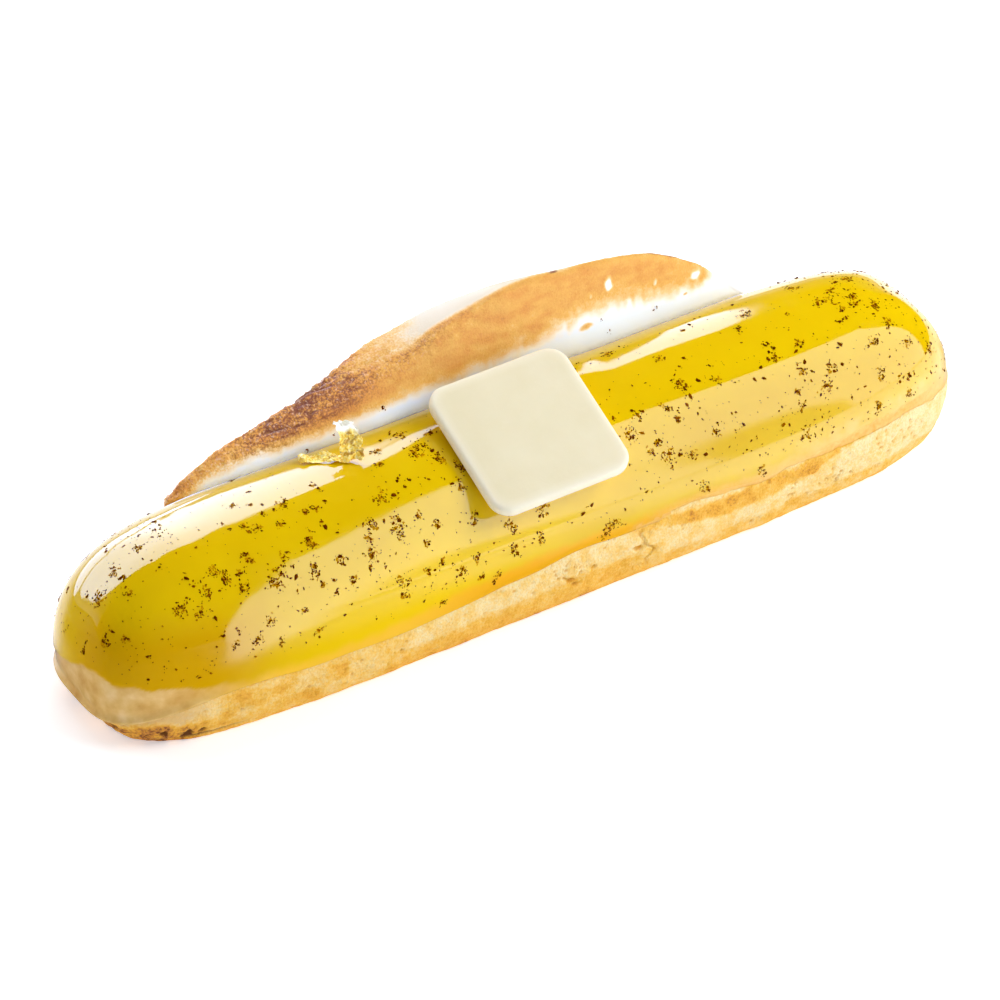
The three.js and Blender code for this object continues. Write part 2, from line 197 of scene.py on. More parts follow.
# Large whole numbers that stir the lattice's random numbers
STIR_CELL = (374761393, 668265263, 920419823)
STIR_SEED = 83492791
STIR_AGAIN = [(13, 1274126177), (15, 1103515245)]
STIR_LAST = 16
WORD = 0xFFFFFFFF


def lattice(cell, seed):
    """A repeatable random number for each whole-number point."""
    h = sum(cell[..., i] * factor for i, factor in enumerate(STIR_CELL)) + seed * STIR_SEED
    h = h & WORD
    for shift, factor in STIR_AGAIN:
        h = ((h ^ (h >> shift)) * factor) & WORD
    return (h ^ (h >> STIR_LAST)) / float(WORD)


def noise(points, size, seed):
    """Smooth noise between -1 and 1, with bumps of about that size in millimetres."""
    p = np.asarray(points) / np.asarray(size, float)
    cell = np.floor(p).astype(np.int64)
    t = p - cell
    t = t * t * t * (t * (t * 6 - 15) + 10)
    total = np.zeros(p.shape[:-1])
    for k in range(8):
        corner = np.array([k & 1, (k >> 1) & 1, (k >> 2) & 1])
        weight = np.prod(np.where(corner, t, 1 - t), axis=-1)
        total += weight * lattice(cell + corner, seed)
    return 2 * total - 1


def clouds(points, size, seed, octaves=3):
    """Noise with finer noise on it, between about -1 and 1."""
    size = np.asarray(size, float)
    total = 0
    for k in range(octaves):
        total = total + noise(points, size / 2 ** k, seed + 17 * k) * 0.5 ** k
    return total / (2 - 0.5 ** (octaves - 1))


def cells(points, size, seed):
    """Distance to the nearest of some scattered points, in cell sizes, and that point's random number."""
    p = np.asarray(points) / size
    cell = np.floor(p).astype(np.int64)
    nearest = np.full(p.shape[:-1], 9.0)
    number = np.zeros(p.shape[:-1])
    for k in range(27):
        there = cell + np.array([k % 3 - 1, (k // 3) % 3 - 1, k // 9 - 1])
        seat = np.stack([lattice(there, seed + i) for i in range(3)], -1)
        gap = np.linalg.norm(there + seat - p, axis=-1)
        closer = gap < nearest
        nearest = np.where(closer, gap, nearest)
        number = np.where(closer, lattice(there, seed + 9), number)
    return nearest, number


# The finger's shape

def outline(count):
    """Points of the outline at even steps of its length, and how far round it they are."""
    fine_steps = 4001
    t = np.linspace(0, np.pi / 2, fine_steps)
    x = np.cos(t) ** (2 / PLAN_POWER)
    y = np.sin(t) ** (2 / PLAN_POWER)
    x[-1] = 0
    run = np.concatenate([[0], np.cumsum(np.hypot(np.diff(x) * LENGTH, np.diff(y) * WIDTH))])
    want = np.linspace(0, run[-1], count // 4 + 1)
    qx = np.interp(want, run, x)
    qy = np.interp(want, run, y)
    ux = np.concatenate([qx, -qx[::-1][1:], -qx[1:], qx[::-1][1:-1]])
    uy = np.concatenate([qy, qy[::-1][1:], -qy[1:], -qy[::-1][1:-1]])
    return ux, uy, 2 * np.pi * np.arange(count) / count


def bend_at(x):
    return BEND * ((x / (LENGTH / 2)) ** 2 - BEND_NULL)


def shell(ux, uy, angle, inset):
    """Points of the glazed finger's surface, moved in by an inset; angles run from foot to crown."""
    out_x = (LENGTH / 2 - inset) * ux
    out_y = (WIDTH / 2 - inset) * uy * (1 + FLARE * ux)
    spine_x = np.clip(out_x, -SPINE, SPINE)
    crown = HEIGHT - inset + TILT * spine_x / SPINE
    cosine = np.clip(np.cos(angle), 0, None)
    sine = np.sin(angle)
    end_share = np.clip(np.abs(out_x) - SPINE, 0, None) / (LENGTH / 2 - SPINE)
    foot = FOOT - END_FOOT * end_share ** 2
    above = angle >= 0
    reach = np.where(above, cosine ** (2 / DOME_POWER), foot + (1 - foot) * cosine)
    dome = BELT + (crown - BELT) * np.clip(sine, 0, None) ** (2 / DOME_POWER)
    z = np.where(above, dome, BELT * (1 + sine))
    x = spine_x + (out_x - spine_x) * reach
    y = out_y * reach + bend_at(x)
    return np.stack(np.broadcast_arrays(x, y, z), -1)


def dome_height(x, y):
    ux = x / (LENGTH / 2)
    half = (WIDTH / 2) * (1 - np.abs(ux) ** PLAN_POWER) ** (1 / PLAN_POWER) * (1 + FLARE * ux)
    across = np.minimum(1, np.abs(y - bend_at(x)) / half)
    crown = HEIGHT + TILT * x / SPINE
    return BELT + (crown - BELT) * (1 - across ** DOME_POWER) ** (1 / DOME_POWER)


def dome_normal(x, y):
    step = 0.05
    slope_x = (dome_height(x + step, y) - dome_height(x - step, y)) / (2 * step)
    slope_y = (dome_height(x, y + step) - dome_height(x, y - step)) / (2 * step)
    return Vector((-slope_x, -slope_y, 1)).normalized()


def glaze_edge(ux, turn):
    """Section angle of the glaze's lower edge, in degrees."""
    return along(EDGE_LINE, (LENGTH / 2) * ux) + EDGE_SWING * ripple(turn, EDGE_RIPPLE)


# Mesh helpers

def grid_normals(grid):
    """Outward directions of a grid of points that is closed along its second axis."""
    round_it = np.roll(grid, -1, 1) - np.roll(grid, 1, 1)
    return unit(np.cross(round_it, np.gradient(grid, axis=0)))


def outward_sign(grid):
    """Positive where a grid's own normals point away from the middle of its rings."""
    middle = grid.mean(1, keepdims=True)
    return float(np.sign(((grid - middle) * grid_normals(grid)).sum()))


def stack_faces(rows, count):
    """Four-sided faces between the rings of a stack."""
    r, j = np.meshgrid(np.arange(rows - 1), np.arange(count), indexing="ij")
    a = r * count + j
    b = r * count + (j + 1) % count
    return np.stack([a, b, b + count, a + count], -1).reshape(-1, 4).tolist()


def zip_faces(start, count, upward):
    """Faces that close a ring whose two halves mirror each other, running straight across it."""
    faces = [[start, start + 1, start + count - 1]]
    for j in range(1, count // 2 - 1):
        faces.append([start + j, start + j + 1, start + count - j - 1, start + count - j])
    middle = start + count // 2
    faces.append([middle - 1, middle, middle + 1])
    return faces if upward else [face[::-1] for face in faces]


def closed_stack(rows, count):
    """Faces of a stack of mirrored rings, closed straight across at both ends."""
    return stack_faces(rows, count) + zip_faces(0, count, False) + zip_faces((rows - 1) * count, count, True)


def fan_faces(start, count, hub, upward):
    """Faces from a ring to one point in its middle."""
    faces = [[start + j, start + (j + 1) % count, hub] for j in range(count)]
    return faces if upward else [[b, a, hub] for a, b, hub in faces]


def set_mask(mesh, key, values):
    """A number for each point of a mesh, for its material to read."""
    attribute = mesh.attributes.new(key, "FLOAT", "POINT")
    attribute.data.foreach_set("value", np.asarray(values, np.float32).ravel())


def add_object(name, data):
    made = bpy.data.objects.new(name, data)
    bpy.context.scene.collection.objects.link(made)
    return made


def add_piece(name, points, faces, material, masks, node, rounded=True):
    """A mesh piece in the part's frame that stands for one of its nodes."""
    mesh = bpy.data.meshes.new(name)
    mesh.from_pydata(((points + SHIFT) * MM).tolist(), [], faces)
    for key, values in masks.items():
        set_mask(mesh, key, values)
    mesh.polygons.foreach_set("use_smooth", np.full(len(mesh.polygons), rounded))
    mesh.materials.append(material)
    mesh.update()
    piece = add_object(name, mesh)
    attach(piece, "root")
    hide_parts(node)
    return piece


# Material helpers

def srgb(red, green, blue):
    """A colour given as 0 to 255 on screen, as the shader's linear values."""
    def linear(c):
        c = c / 255
        return c / 12.92 if c <= 0.04045 else ((c + 0.055) / 1.055) ** 2.4
    return (linear(red), linear(green), linear(blue), 1)


# Numbers of a mix node's sockets for its two colours and their mixture
MIX_FIRST = 6
MIX_SECOND = 7
MIXTURE = 2


class Shader:
    """One material's node tree, with short calls for the nodes that the eclair needs."""

    def __init__(self, name):
        self.material = bpy.data.materials.new(name)
        self.material.use_nodes = True
        self.tree = self.material.node_tree
        self.bsdf = self.tree.nodes["Principled BSDF"]
        self.place = self.tree.nodes.new("ShaderNodeTexCoord").outputs["Object"]

    def node(self, kind, **settings):
        made = self.tree.nodes.new(kind)
        for key, value in settings.items():
            setattr(made, key, value)
        return made

    def put(self, socket, value):
        if isinstance(value, bpy.types.NodeSocket):
            self.tree.links.new(value, socket)
        else:
            socket.default_value = value

    def mask(self, key):
        return self.node("ShaderNodeAttribute", attribute_name=key).outputs["Fac"]

    def noise(self, size, detail=3.0, stretch=(1, 1, 1)):
        """Noise with bumps of about that size in millimetres."""
        mapping = self.node("ShaderNodeMapping")
        self.tree.links.new(self.place, mapping.inputs["Vector"])
        mapping.inputs["Scale"].default_value = stretch
        made = self.node("ShaderNodeTexNoise")
        self.tree.links.new(mapping.outputs["Vector"], made.inputs["Vector"])
        made.inputs["Scale"].default_value = 1 / (size * MM)
        made.inputs["Detail"].default_value = detail
        return made.outputs["Fac"]

    def math(self, operation, first, second=0.0, third=0.0):
        made = self.node("ShaderNodeMath", operation=operation)
        for socket, value in zip(made.inputs, (first, second, third)):
            self.put(socket, value)
        return made.outputs[0]

    def span(self, value, low, high, to_low=0.0, to_high=1.0):
        """A value's range stretched to another one, with soft ends."""
        made = self.node("ShaderNodeMapRange", interpolation_type="SMOOTHSTEP")
        for key, number in (("Value", value), ("From Min", low), ("From Max", high),
                            ("To Min", to_low), ("To Max", to_high)):
            self.put(made.inputs[key], number)
        return made.outputs["Result"]

    def ramp(self, value, stops):
        made = self.node("ShaderNodeValToRGB")
        self.put(made.inputs["Fac"], value)
        while len(made.color_ramp.elements) < len(stops):
            made.color_ramp.elements.new(1)
        for element, (place, colour) in zip(made.color_ramp.elements, stops):
            element.position = place
            element.color = colour
        return made.outputs["Color"]

    def mix(self, share, first, second, how="MIX"):
        made = self.node("ShaderNodeMix", data_type="RGBA", blend_type=how)
        self.put(made.inputs["Factor"], share)
        self.put(made.inputs[MIX_FIRST], first)
        self.put(made.inputs[MIX_SECOND], second)
        return made.outputs[MIXTURE]

    def bump(self, height, depth, strength=1.0):
        made = self.node("ShaderNodeBump")
        made.inputs["Strength"].default_value = strength
        made.inputs["Distance"].default_value = depth * MM
        self.put(made.inputs["Height"], height)
        self.put(self.bsdf.inputs["Normal"], made.outputs["Normal"])

    def set(self, **values):
        for key, value in values.items():
            self.put(self.bsdf.inputs[key.replace("_", " ")], value)


# Plaque: worked out first, because it also shows where the part's frame lies

def plaque_outline(inset, turns):
    half = PLAQUE_SIDE / 2 - inset
    radius = PLAQUE_CORNER - inset
    points = []
    for corner in range(4):
        sign_x = 1 if corner in (0, 3) else -1
        sign_y = 1 if corner < 2 else -1
        for i in range(turns + 1):
            angle = math.radians(90 * (corner + i / turns))
            x = sign_x * (half - radius) + radius * math.cos(angle)
            y = sign_y * (half - radius) + radius * math.sin(angle)
            points.append((x, y))
    return np.array(points)


def plaque_rings(profile, turns):
    """Rings round the plaque, one for each inset and height of its profile."""
    count = 4 * (turns + 1)
    return [np.column_stack([plaque_outline(inset, turns), np.full(count, z)]) for inset, z in profile]


def plaque_place():
    """The turn and the place of the plaque on the dome."""
    normal = dome_normal(PLAQUE_X, PLAQUE_Y)
    lift = GAP + PLAQUE_SIDE / 2 * abs(math.sin(math.radians(PLAQUE_ROLL)))
    turn = Vector((0, 0, 1)).rotation_difference(normal).to_matrix()
    turn = turn @ Matrix.Rotation(math.radians(PLAQUE_ROLL), 3, "Y")
    turn = turn @ Matrix.Rotation(math.radians(PLAQUE_YAW), 3, "Z")
    spot = Vector((PLAQUE_X, PLAQUE_Y, dome_height(PLAQUE_X, PLAQUE_Y))) + normal * lift
    return np.array(turn), np.array(spot)


PLAQUE_TURN, PLAQUE_SPOT = plaque_place()


def frame_shift():
    """How far the part's frame lies from the formulas' own, from the plaque's box in both."""
    corner_turns = 6
    profile = [(0.6, 0), (0.15, 0.2), (0, 0.6), (0, 1.3), (0.2, 1.75), (0.75, PLAQUE_THICK)]
    points = np.concatenate(plaque_rings(profile, corner_turns)) @ PLAQUE_TURN.T + PLAQUE_SPOT
    low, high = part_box("plaque")
    shift = (np.array(low) + np.array(high)) / 2 / MM - (points.min(0) + points.max(0)) / 2
    return np.array([shift[0], shift[1], 0])


SHIFT = frame_shift()


def direction(azimuth, elevation):
    """The way out from the eclair at an azimuth and an elevation in degrees."""
    a = math.radians(azimuth)
    e = math.radians(elevation)
    return np.array([math.sin(a) * math.cos(e), -math.cos(a) * math.cos(e), math.sin(e)])


def level_right(azimuth):
    """The level way to the right of what looks in from an azimuth."""
    a = math.radians(azimuth)
    return np.array([math.cos(a), math.sin(a), 0])


def camera_axes():
    back = direction(VIEW_AZIMUTH, VIEW_ELEVATION)
    right = level_right(VIEW_AZIMUTH)
    return right, np.cross(back, right), back


def pixel_ray(u, v):
    """Where the camera stands and which way it looks through a pixel, in the formulas' own frame."""
    right, up, back = camera_axes()
    way = -back * VIEW_FOCAL + right * (u - VIEW_MIDDLE[0]) - up * (v - VIEW_MIDDLE[1])
    return VIEW_TARGET + back * VIEW_DISTANCE, way / np.linalg.norm(way)


# Choux

CHOUX_ROUND = 1080
SKIRT_ROWS = 54
TOP_UNDER = 2.0  # how many degrees the skirt runs on under the glaze's lip
END_TUCK = 1.2  # how far the foot is drawn in at the left end
CRACKS = [(13.4, 0.55), (22, 0.2), (-47, 0.2)]  # X and depth of upright cracks in the front
# Place and width of the larger pits
HOLES = [
    (-67.2, -13.0, 2.3, 1.0), (-63.8, -13.9, 1.5, 1.6), (-61.8, -14.4, 1.7, 1.2), (-73.0, -8.6, 3.4, 0.8),
    (-0.6, -17, 4.9, 1.1), (0.2, -17, 3.9, 0.9), (3.4, -17, 5.8, 0.8), (11.4, -17, 6.0, 0.9),
    (62.5, -13.6, 5.6, 0.75), (66.5, -12, 6.6, 0.6), (44, -16.6, 3.0, 0.5), (32, -17, 2.2, 0.5),
    (-20, 16.5, 4, 1.1), (41, 16, 3, 1.3),
]
HOLE_STRETCH = (1.2, 1.2, 0.8)
# Insets of the rings under the foot, and how far up the hidden dome its rings lie
UNDER_INSETS = (14.5, 11, 7, 3.5, 1.2)
DOME_SHARES = (0, 0.16, 0.32, 0.48, 0.63, 0.78, 0.92)
# Colour masks of the hidden rings: underside and dome
HIDDEN_CHOUX = {"toast": (0.72, 0.5), "pit_shade": (0, 0), "hole_shadow": (0, 0), "sheen": (0, 0)}
# Height of the middle of the ragged ledge on the right, and half its thickness
LEDGE_LINE = [(8, 9.4), (17, 9.0), (26, 7.6), (40, 8.3), (51, 10.0), (58, 10.4), (75, 10.6)]
LEDGE_HALF = [(8, 0.5), (17, 0.9), (26, 1.4), (40, 1.5), (51, 0.8), (60, 0.5), (75, 0.4)]
# How many degrees the crust climbs over the glaze's lip along X, and how far it stands out there
CLIMB = [(-75, 0), (8, 0), (14, 0.6), (20, 1.4), (26, 1.4), (40, 2.2), (52, 3), (64, 3.2), (75, 2.6)]
CLIMB_PROUD = 0.06


def choux_material():
    s = Shader("choux")
    grain = s.noise(0.4, 4.0)
    patch = s.noise(2.2, 5.0)
    tone = s.math("ADD", s.mask("toast"), s.span(grain, 0.32, 0.68, -0.1, 0.1))
    tone = s.math("ADD", tone, s.span(patch, 0.34, 0.66, -0.12, 0.12))
    colour = s.ramp(tone, [
        (0.0, srgb(255, 230, 172)), (0.25, srgb(254, 214, 132)), (0.5, srgb(250, 194, 76)),
        (0.72, srgb(240, 172, 46)), (0.88, srgb(206, 132, 44)), (1.0, srgb(136, 76, 26)),
    ])
    # Painted shade: pores, holes and cracks are darker
    colour = s.mix(s.span(s.mask("pit_shade"), 0.15, 1.0, 0.0, 0.8), colour, srgb(226, 162, 50))
    # Painted shadow: the holes at the left end and the crack along the foot are near-black brown
    colour = s.mix(s.span(s.mask("hole_shadow"), 0.1, 1.0, 0.0, 0.9), colour, srgb(104, 54, 18))
    sheen = s.mask("sheen")
    film = s.ramp(patch, [
        (0.3, srgb(214, 164, 96)), (0.55, srgb(236, 194, 126)), (0.75, srgb(248, 212, 150)),
    ])
    dull = s.span(grain, 0.2, 0.8, 0.5, 0.7)
    s.set(Base_Color=s.mix(s.math("MULTIPLY", sheen, 0.8), colour, film),
          Roughness=s.math("MULTIPLY", dull, s.span(sheen, 0.0, 1.0, 1.0, 0.4)), Specular_IOR_Level=0.35,
          Subsurface_Weight=0.2, Subsurface_Radius=(1.0, 0.6, 0.3), Subsurface_Scale=0.0009)
    fine = s.math("ADD", s.noise(0.3, 3.0), s.noise(1.2, 2.0))
    s.bump(s.math("MULTIPLY", fine, s.span(sheen, 0.0, 1.0, 1.0, 0.2)), 0.2)
    return s.material


def climb_at(place):
    """How far the crust runs up over the lip, with a torn upper edge."""
    torn = 1 + 0.55 * noise(place, 2.4, 36) + 0.2 * noise(place, 0.9, 37)
    return np.clip(along(CLIMB, place[..., 0]) * torn, 0, None)


def ledge_at(place):
    """Where the ragged toasted ledge runs, on the choux and on the thin glaze above it."""
    x, _, z = parts(place)
    ragged = 0.6 * clouds(place, (2.4, 2.4, 1.6), 34) + 0.35 * noise(place, (0.9, 0.9, 0.7), 35)
    off = np.abs(z + ragged - along(LEDGE_LINE, x)) / along(LEDGE_HALF, x)
    return smooth(1.35, 0.8, off) * smooth(8, 14, x) * smooth(72, 62, x)


def choux_relief(skirt, height):
    """How far each point of the skirt moves out, and the masks that colour it."""
    x, y, z = parts(skirt)
    wander = clouds(skirt, (9, 9, 30), 31)
    ragged = height + 0.06 * wander + 0.05 * clouds(skirt, (2.2, 2.2, 4), 32)
    right = smooth(9, 20, x)
    left_end = smooth(-58, -68, x)
    left = smooth(-24, -36, x) * (1 - left_end)
    middle = (1 - right) * (1 - left) * (1 - left_end)
    ledge = ledge_at(skirt)
    rim = smooth(0.24, 0.36, ragged) * (1 - ledge) * right
    rim = np.maximum(rim, smooth(0.42, 0.56, ragged) * middle)
    streak = bell(ragged, 0.17, 0.05) * right * smooth(-0.2, 0.3, clouds(skirt, (10, 10, 40), 33))

    flecks = clouds(skirt, (1.6, 1.6, 1.0), 23)
    pore_gap, pore_number = cells(skirt, 0.95, 71)
    fine_gap, fine_number = cells(skirt, 0.5, 83)
    crumb = bell(x, 5, 9) * smooth(0.4, 0.6, height)
    busy = smooth(-0.3, 0.3, clouds(skirt, 5, 12) + 0.8 * crumb) * (1 - 0.85 * left_end)
    busy = busy * smooth(0.06, 0.3, height) * smooth(1.02, 0.85, height)
    pores = smooth(0.46, 0.16, pore_gap) * (pore_number > 0.62) * busy
    pores = np.maximum(pores, 0.7 * smooth(0.44, 0.15, fine_gap) * (fine_number > 0.6) * busy)

    holes = np.zeros(height.shape)
    torn = 1 + 0.5 * noise(skirt, 0.7, 44) + 0.3 * noise(skirt, 0.35, 45)
    for *spot, wide in HOLES:
        uneven = reach_from(skirt, spot, HOLE_STRETCH) * torn
        holes = np.maximum(holes, smooth(wide * 0.8, wide * 0.3, uneven))
    cracks = np.zeros(height.shape)
    for crack_x, depth in CRACKS:
        line = x - crack_x - 0.9 * noise(skirt * np.array([0, 0, 1.0]), 1.6, 9) + 0.2 * (z - 5)
        reach = smooth(0.1, 0.3, height) * smooth(1.0, 0.85, height) * (y < 0)
        cracks = np.maximum(cracks, depth * smooth(0.3, 0.05, np.abs(line)) * reach)
    base_crack = bell(height, 0.1 + 0.05 * wander, 0.035) * smooth(-50, -62, x) * smooth(-0.2, 0.3, wander)

    relief = 0.17 * clouds(skirt, 3.4, 3) + 0.08 * noise(skirt, 1.1, 4) + 0.04 * noise(skirt, 0.5, 6)
    relief = relief + 0.1 * rim + 0.14 * ledge * (1 + flecks) - 0.1 * streak
    relief = relief - 0.36 * pores - 0.7 * holes - cracks - 0.35 * base_crack

    patches = smooth(0.0, 0.3, clouds(skirt, (5, 5, 2.6), 21))
    patches = patches * smooth(0.12, 0.25, height) * smooth(0.95, 0.75, height)
    low_edge = smooth(0.16, 0.0, height + 0.05 * wander)
    toast = 0.42 - (0.2 + 0.1 * smooth(44, 56, x)) * rim + (0.2 + 0.05 * flecks) * ledge + 0.14 * streak
    # The extra toast in the holes is painted shade; the other terms are the crust's own toasting
    toast = toast + 0.2 * patches * left + 0.16 * low_edge - 0.04 * left - 0.12 * left_end + 0.15 * holes
    toast = toast + 0.16 * smooth(0.55, 0.2, height) * middle + 0.05 * flecks * right
    foot = smooth(0.42, 0.12, height + 0.1 * wander + 0.08 * flecks)
    end_height = z + 0.9 * wander + 0.8 * flecks
    toast = toast + 0.1 * left * foot + 0.55 * left_end * smooth(5.0, 3.2, end_height)
    toast = toast - 0.05 * smooth(56, 70, x)
    # Painted shade in the pores, holes and cracks
    pit_shade = np.clip(0.95 * pores + 0.95 * holes + 1.2 * cracks, 0, 1)
    # Painted shadow in the left end's holes and the foot's crack
    hole_shadow = np.clip(holes * smooth(-54, -60, x) + 0.8 * base_crack, 0, 1)
    sheen = left_end * smooth(3.8, 5.2, end_height)
    return relief, {"toast": toast, "pit_shade": pit_shade, "hole_shadow": hole_shadow, "sheen": sheen}


def tuck_end(points):
    """The skirt with its foot drawn in at the front of the left end."""
    x, y, z = parts(points)
    pull = END_TUCK * smooth(-57, -71, x) * smooth(7.5, 0, z) * smooth(9, 0, y) * smooth(-14, -7, y)
    return points + pull[..., None] * np.array([0.6, 0.8, 0])


def choux_piece():
    ux, uy, turn = outline(CHOUX_ROUND)
    edge = glaze_edge(ux, turn)
    share = np.insert(np.linspace(0, 1, SKIRT_ROWS - 1) ** 0.8, -1, 0.998)[:, None]
    climb = climb_at(shell(ux, uy, np.radians(edge), 0.0))
    over = smooth(0.2, 1.2, climb)
    angle = np.radians(-90 + (edge + TOP_UNDER + climb + 90) * share)
    bulge = SKIRT_BUMP * ripple(turn, SKIRT_RIPPLE) * np.sin(np.pi * share)
    proud = SKIRT_PROUD * np.minimum(1, share * 2) * smooth(1, 0.86, share) - 0.12 * smooth(0.93, 1, share)
    proud = proud + over * (np.maximum(proud, CLIMB_PROUD * smooth(0.5, 0.8, share)) - proud)
    skirt = shell(ux, uy, angle, -proud - bulge)
    height = skirt[..., 2] / np.maximum(skirt[-1:, :, 2], 0.1)
    skirt = tuck_end(skirt)
    relief, masks = choux_relief(skirt, height)
    ease = np.maximum(np.sin(np.pi * np.clip(share, 0, 1)) ** 0.5, 0.7 * over * smooth(0.5, 0.7, share))
    skirt = skirt + grid_normals(skirt) * (relief * ease)[..., None]
    skirt[..., 2] = np.maximum(skirt[..., 2], 0)
    skirt[0, :, 2] = 0

    under = []
    for inset in UNDER_INSETS:
        ring = shell(ux, uy, np.full(ux.shape, -np.pi / 2), inset)
        ring[:, 2] = 0.25 * smooth(0, 6, inset) * (0.5 + 0.5 * clouds(ring, 4, 8))
        ring[:, :2] += (tuck_end(ring) - ring)[:, :2] * smooth(12, 1, inset)
        under.append(ring)
    dome = []
    low = edge + TOP_UNDER + 1.2
    for share_up in DOME_SHARES:
        dome.append(shell(ux, uy, np.radians(low + (90 - low) * share_up), GLAZE + GAP))
    grid = np.concatenate([np.array(under), skirt, np.array(dome)])
    before = len(under) * CHOUX_ROUND
    after = len(dome) * CHOUX_ROUND
    for key, (below, above) in HIDDEN_CHOUX.items():
        masks[key] = np.concatenate([np.full(before, below), masks[key].ravel(), np.full(after, above)])
    faces = closed_stack(len(grid), CHOUX_ROUND)
    return add_piece("choux_crust", grid.reshape(-1, 3), faces, choux_material(), masks, "choux")


# Glaze

GLAZE_ROUND = 960
GLAZE_ROWS = 66
# Rings round the lip, from inside to outside: degrees above the lower edge, and inset
LIP = [
    (4.6, 1.0), (2.2, 0.5), (0.4, -0.1), (-1.4, -0.22), (-2.0, -0.3),
    (-1.4, -0.4), (0.2, -0.42), (2.4, -0.3), (5, -0.13), (8, -0.03),
]
LIP_INSIDE = 5  # how many of these rings count as the inner face
LIP_TOP = 8  # degrees above the edge where the lip ends
# How far up from its start the inner face's rings lie, and how many degrees above the edge it starts
INNER_SHARES = (0.985, 0.9, 0.77, 0.6, 0.43, 0.26, 0.1, 0)
INNER_START = 6.0
CROWN_SHARE = 0.996
# How thick the bead along the lip is
BEAD = [(-75, 1), (-60, 0.8), (-48, 0.25), (-20, 0.12), (0, 0.2), (14, 0.12), (75, 0.1)]
# How far the crown leans along X, and how wide the leaning part is
LEAN = [
    (-75, -0.1), (-56, -0.13), (-49, -0.08), (-43, -0.05), (-37, -0.03), (-30, 0), (-23, 0.04),
    (-12, 0.13), (13, 0.16), (18, 0.1), (30, 0.1), (45, 0.09), (60, 0.03), (75, 0),
]
LEAN_WIDE = 6.5
# Height below which the glaze turns thin and pale, and how softly
THIN_LINE = [
    (-75, 12.4), (-73, 11.4), (-68, 10.4), (-60, 9.5), (-50, 8.8), (-40, 8.8), (-25, 9.8),
    (-8, 11.2), (6, 11.4), (16, 10.8), (24, 10.8), (40, 11.2), (58, 12.0), (75, 13.0),
]
THIN_SOFT = [(-75, 0.5), (-62, 0.6), (-50, 1.8), (-20, 1.6), (6, 1.4), (16, 2.0), (30, 3.2), (75, 3.6)]
# How much thinner the glaze is below that line at the left end
THIN_STEP = 0.22


def lean_at(x, y):
    """How far the crown is raised or lowered at a place of the glaze."""
    across = y - bend_at(x)
    return along(LEAN, x) * across * bell(across, 0, LEAN_WIDE)


def glaze_top(x, y):
    """Height on which things stand on the glaze."""
    return dome_height(x, y) + np.maximum(lean_at(x, y), 0)


def thin_at(place):
    """How thin and pale the glaze is at a place."""
    x, y, z = parts(place)
    wander = 0.7 * clouds(place, (6, 6, 20), 14) + 0.25 * noise(place, (1.6, 1.6, 9), 15)
    line = along(THIN_LINE, x) - 3.6 * smooth(-7, 5, y) * smooth(-70, -73.5, x)
    return smooth(1, -1, (z - line + wander) / along(THIN_SOFT, x))


def glaze_material():
    s = Shader("glaze")
    wave = s.noise(7.0, 3.0)
    cloud = s.noise(16.0, 2.0)
    colour = s.ramp(wave, [(0.3, srgb(238, 199, 2)), (0.7, srgb(232, 191, 2))])
    colour = s.mix(s.span(cloud, 0.35, 0.75, 0.0, 0.25), colour, srgb(218, 174, 0))
    # Painted shade: the glaze is darkened towards amber at the lower left end and high on the right front
    colour = s.mix(s.math("MULTIPLY", s.mask("painted_shade"), 0.8), colour, srgb(212, 156, 0))
    # Painted light: the front side is brightened to a paler lemon
    colour = s.mix(s.mask("side"), colour, srgb(250, 208, 4))
    film = s.ramp(s.noise(3.4, 4.0), [
        (0.3, srgb(212, 160, 84)), (0.5, srgb(232, 188, 112)), (0.72, srgb(250, 214, 150)),
    ])
    edge = s.mix(s.mask("pale"), srgb(249, 178, 24), srgb(255, 198, 58))
    edge = s.mix(s.mask("milk"), edge, film)
    edge = s.mix(s.mask("cream"), edge, srgb(254, 216, 140))
    thin = s.math("ADD", s.mask("thin"), s.span(s.noise(2.4, 3.0), 0.3, 0.7, -0.08, 0.08))
    colour = s.mix(s.span(thin, 0.06, 0.95), colour, edge)
    ledge = s.mask("ledge")
    crust = s.ramp(s.noise(0.6, 4.0), [(0.3, srgb(244, 176, 66)), (0.7, srgb(252, 200, 106))])
    colour = s.mix(ledge, colour, crust)
    smoothness = s.span(s.noise(3.0), 0.3, 0.7, 0.045, 0.075)
    s.set(Base_Color=colour, Roughness=s.math("ADD", smoothness, s.math("MULTIPLY", ledge, 0.4)), IOR=1.5,
          Specular_IOR_Level=0.62, Subsurface_Weight=0.1, Subsurface_Radius=(1.0, 0.6, 0.1),
          Subsurface_Scale=0.0012)
    s.bump(s.noise(5.0, 1.0), 0.02, 0.5)
    return s.material


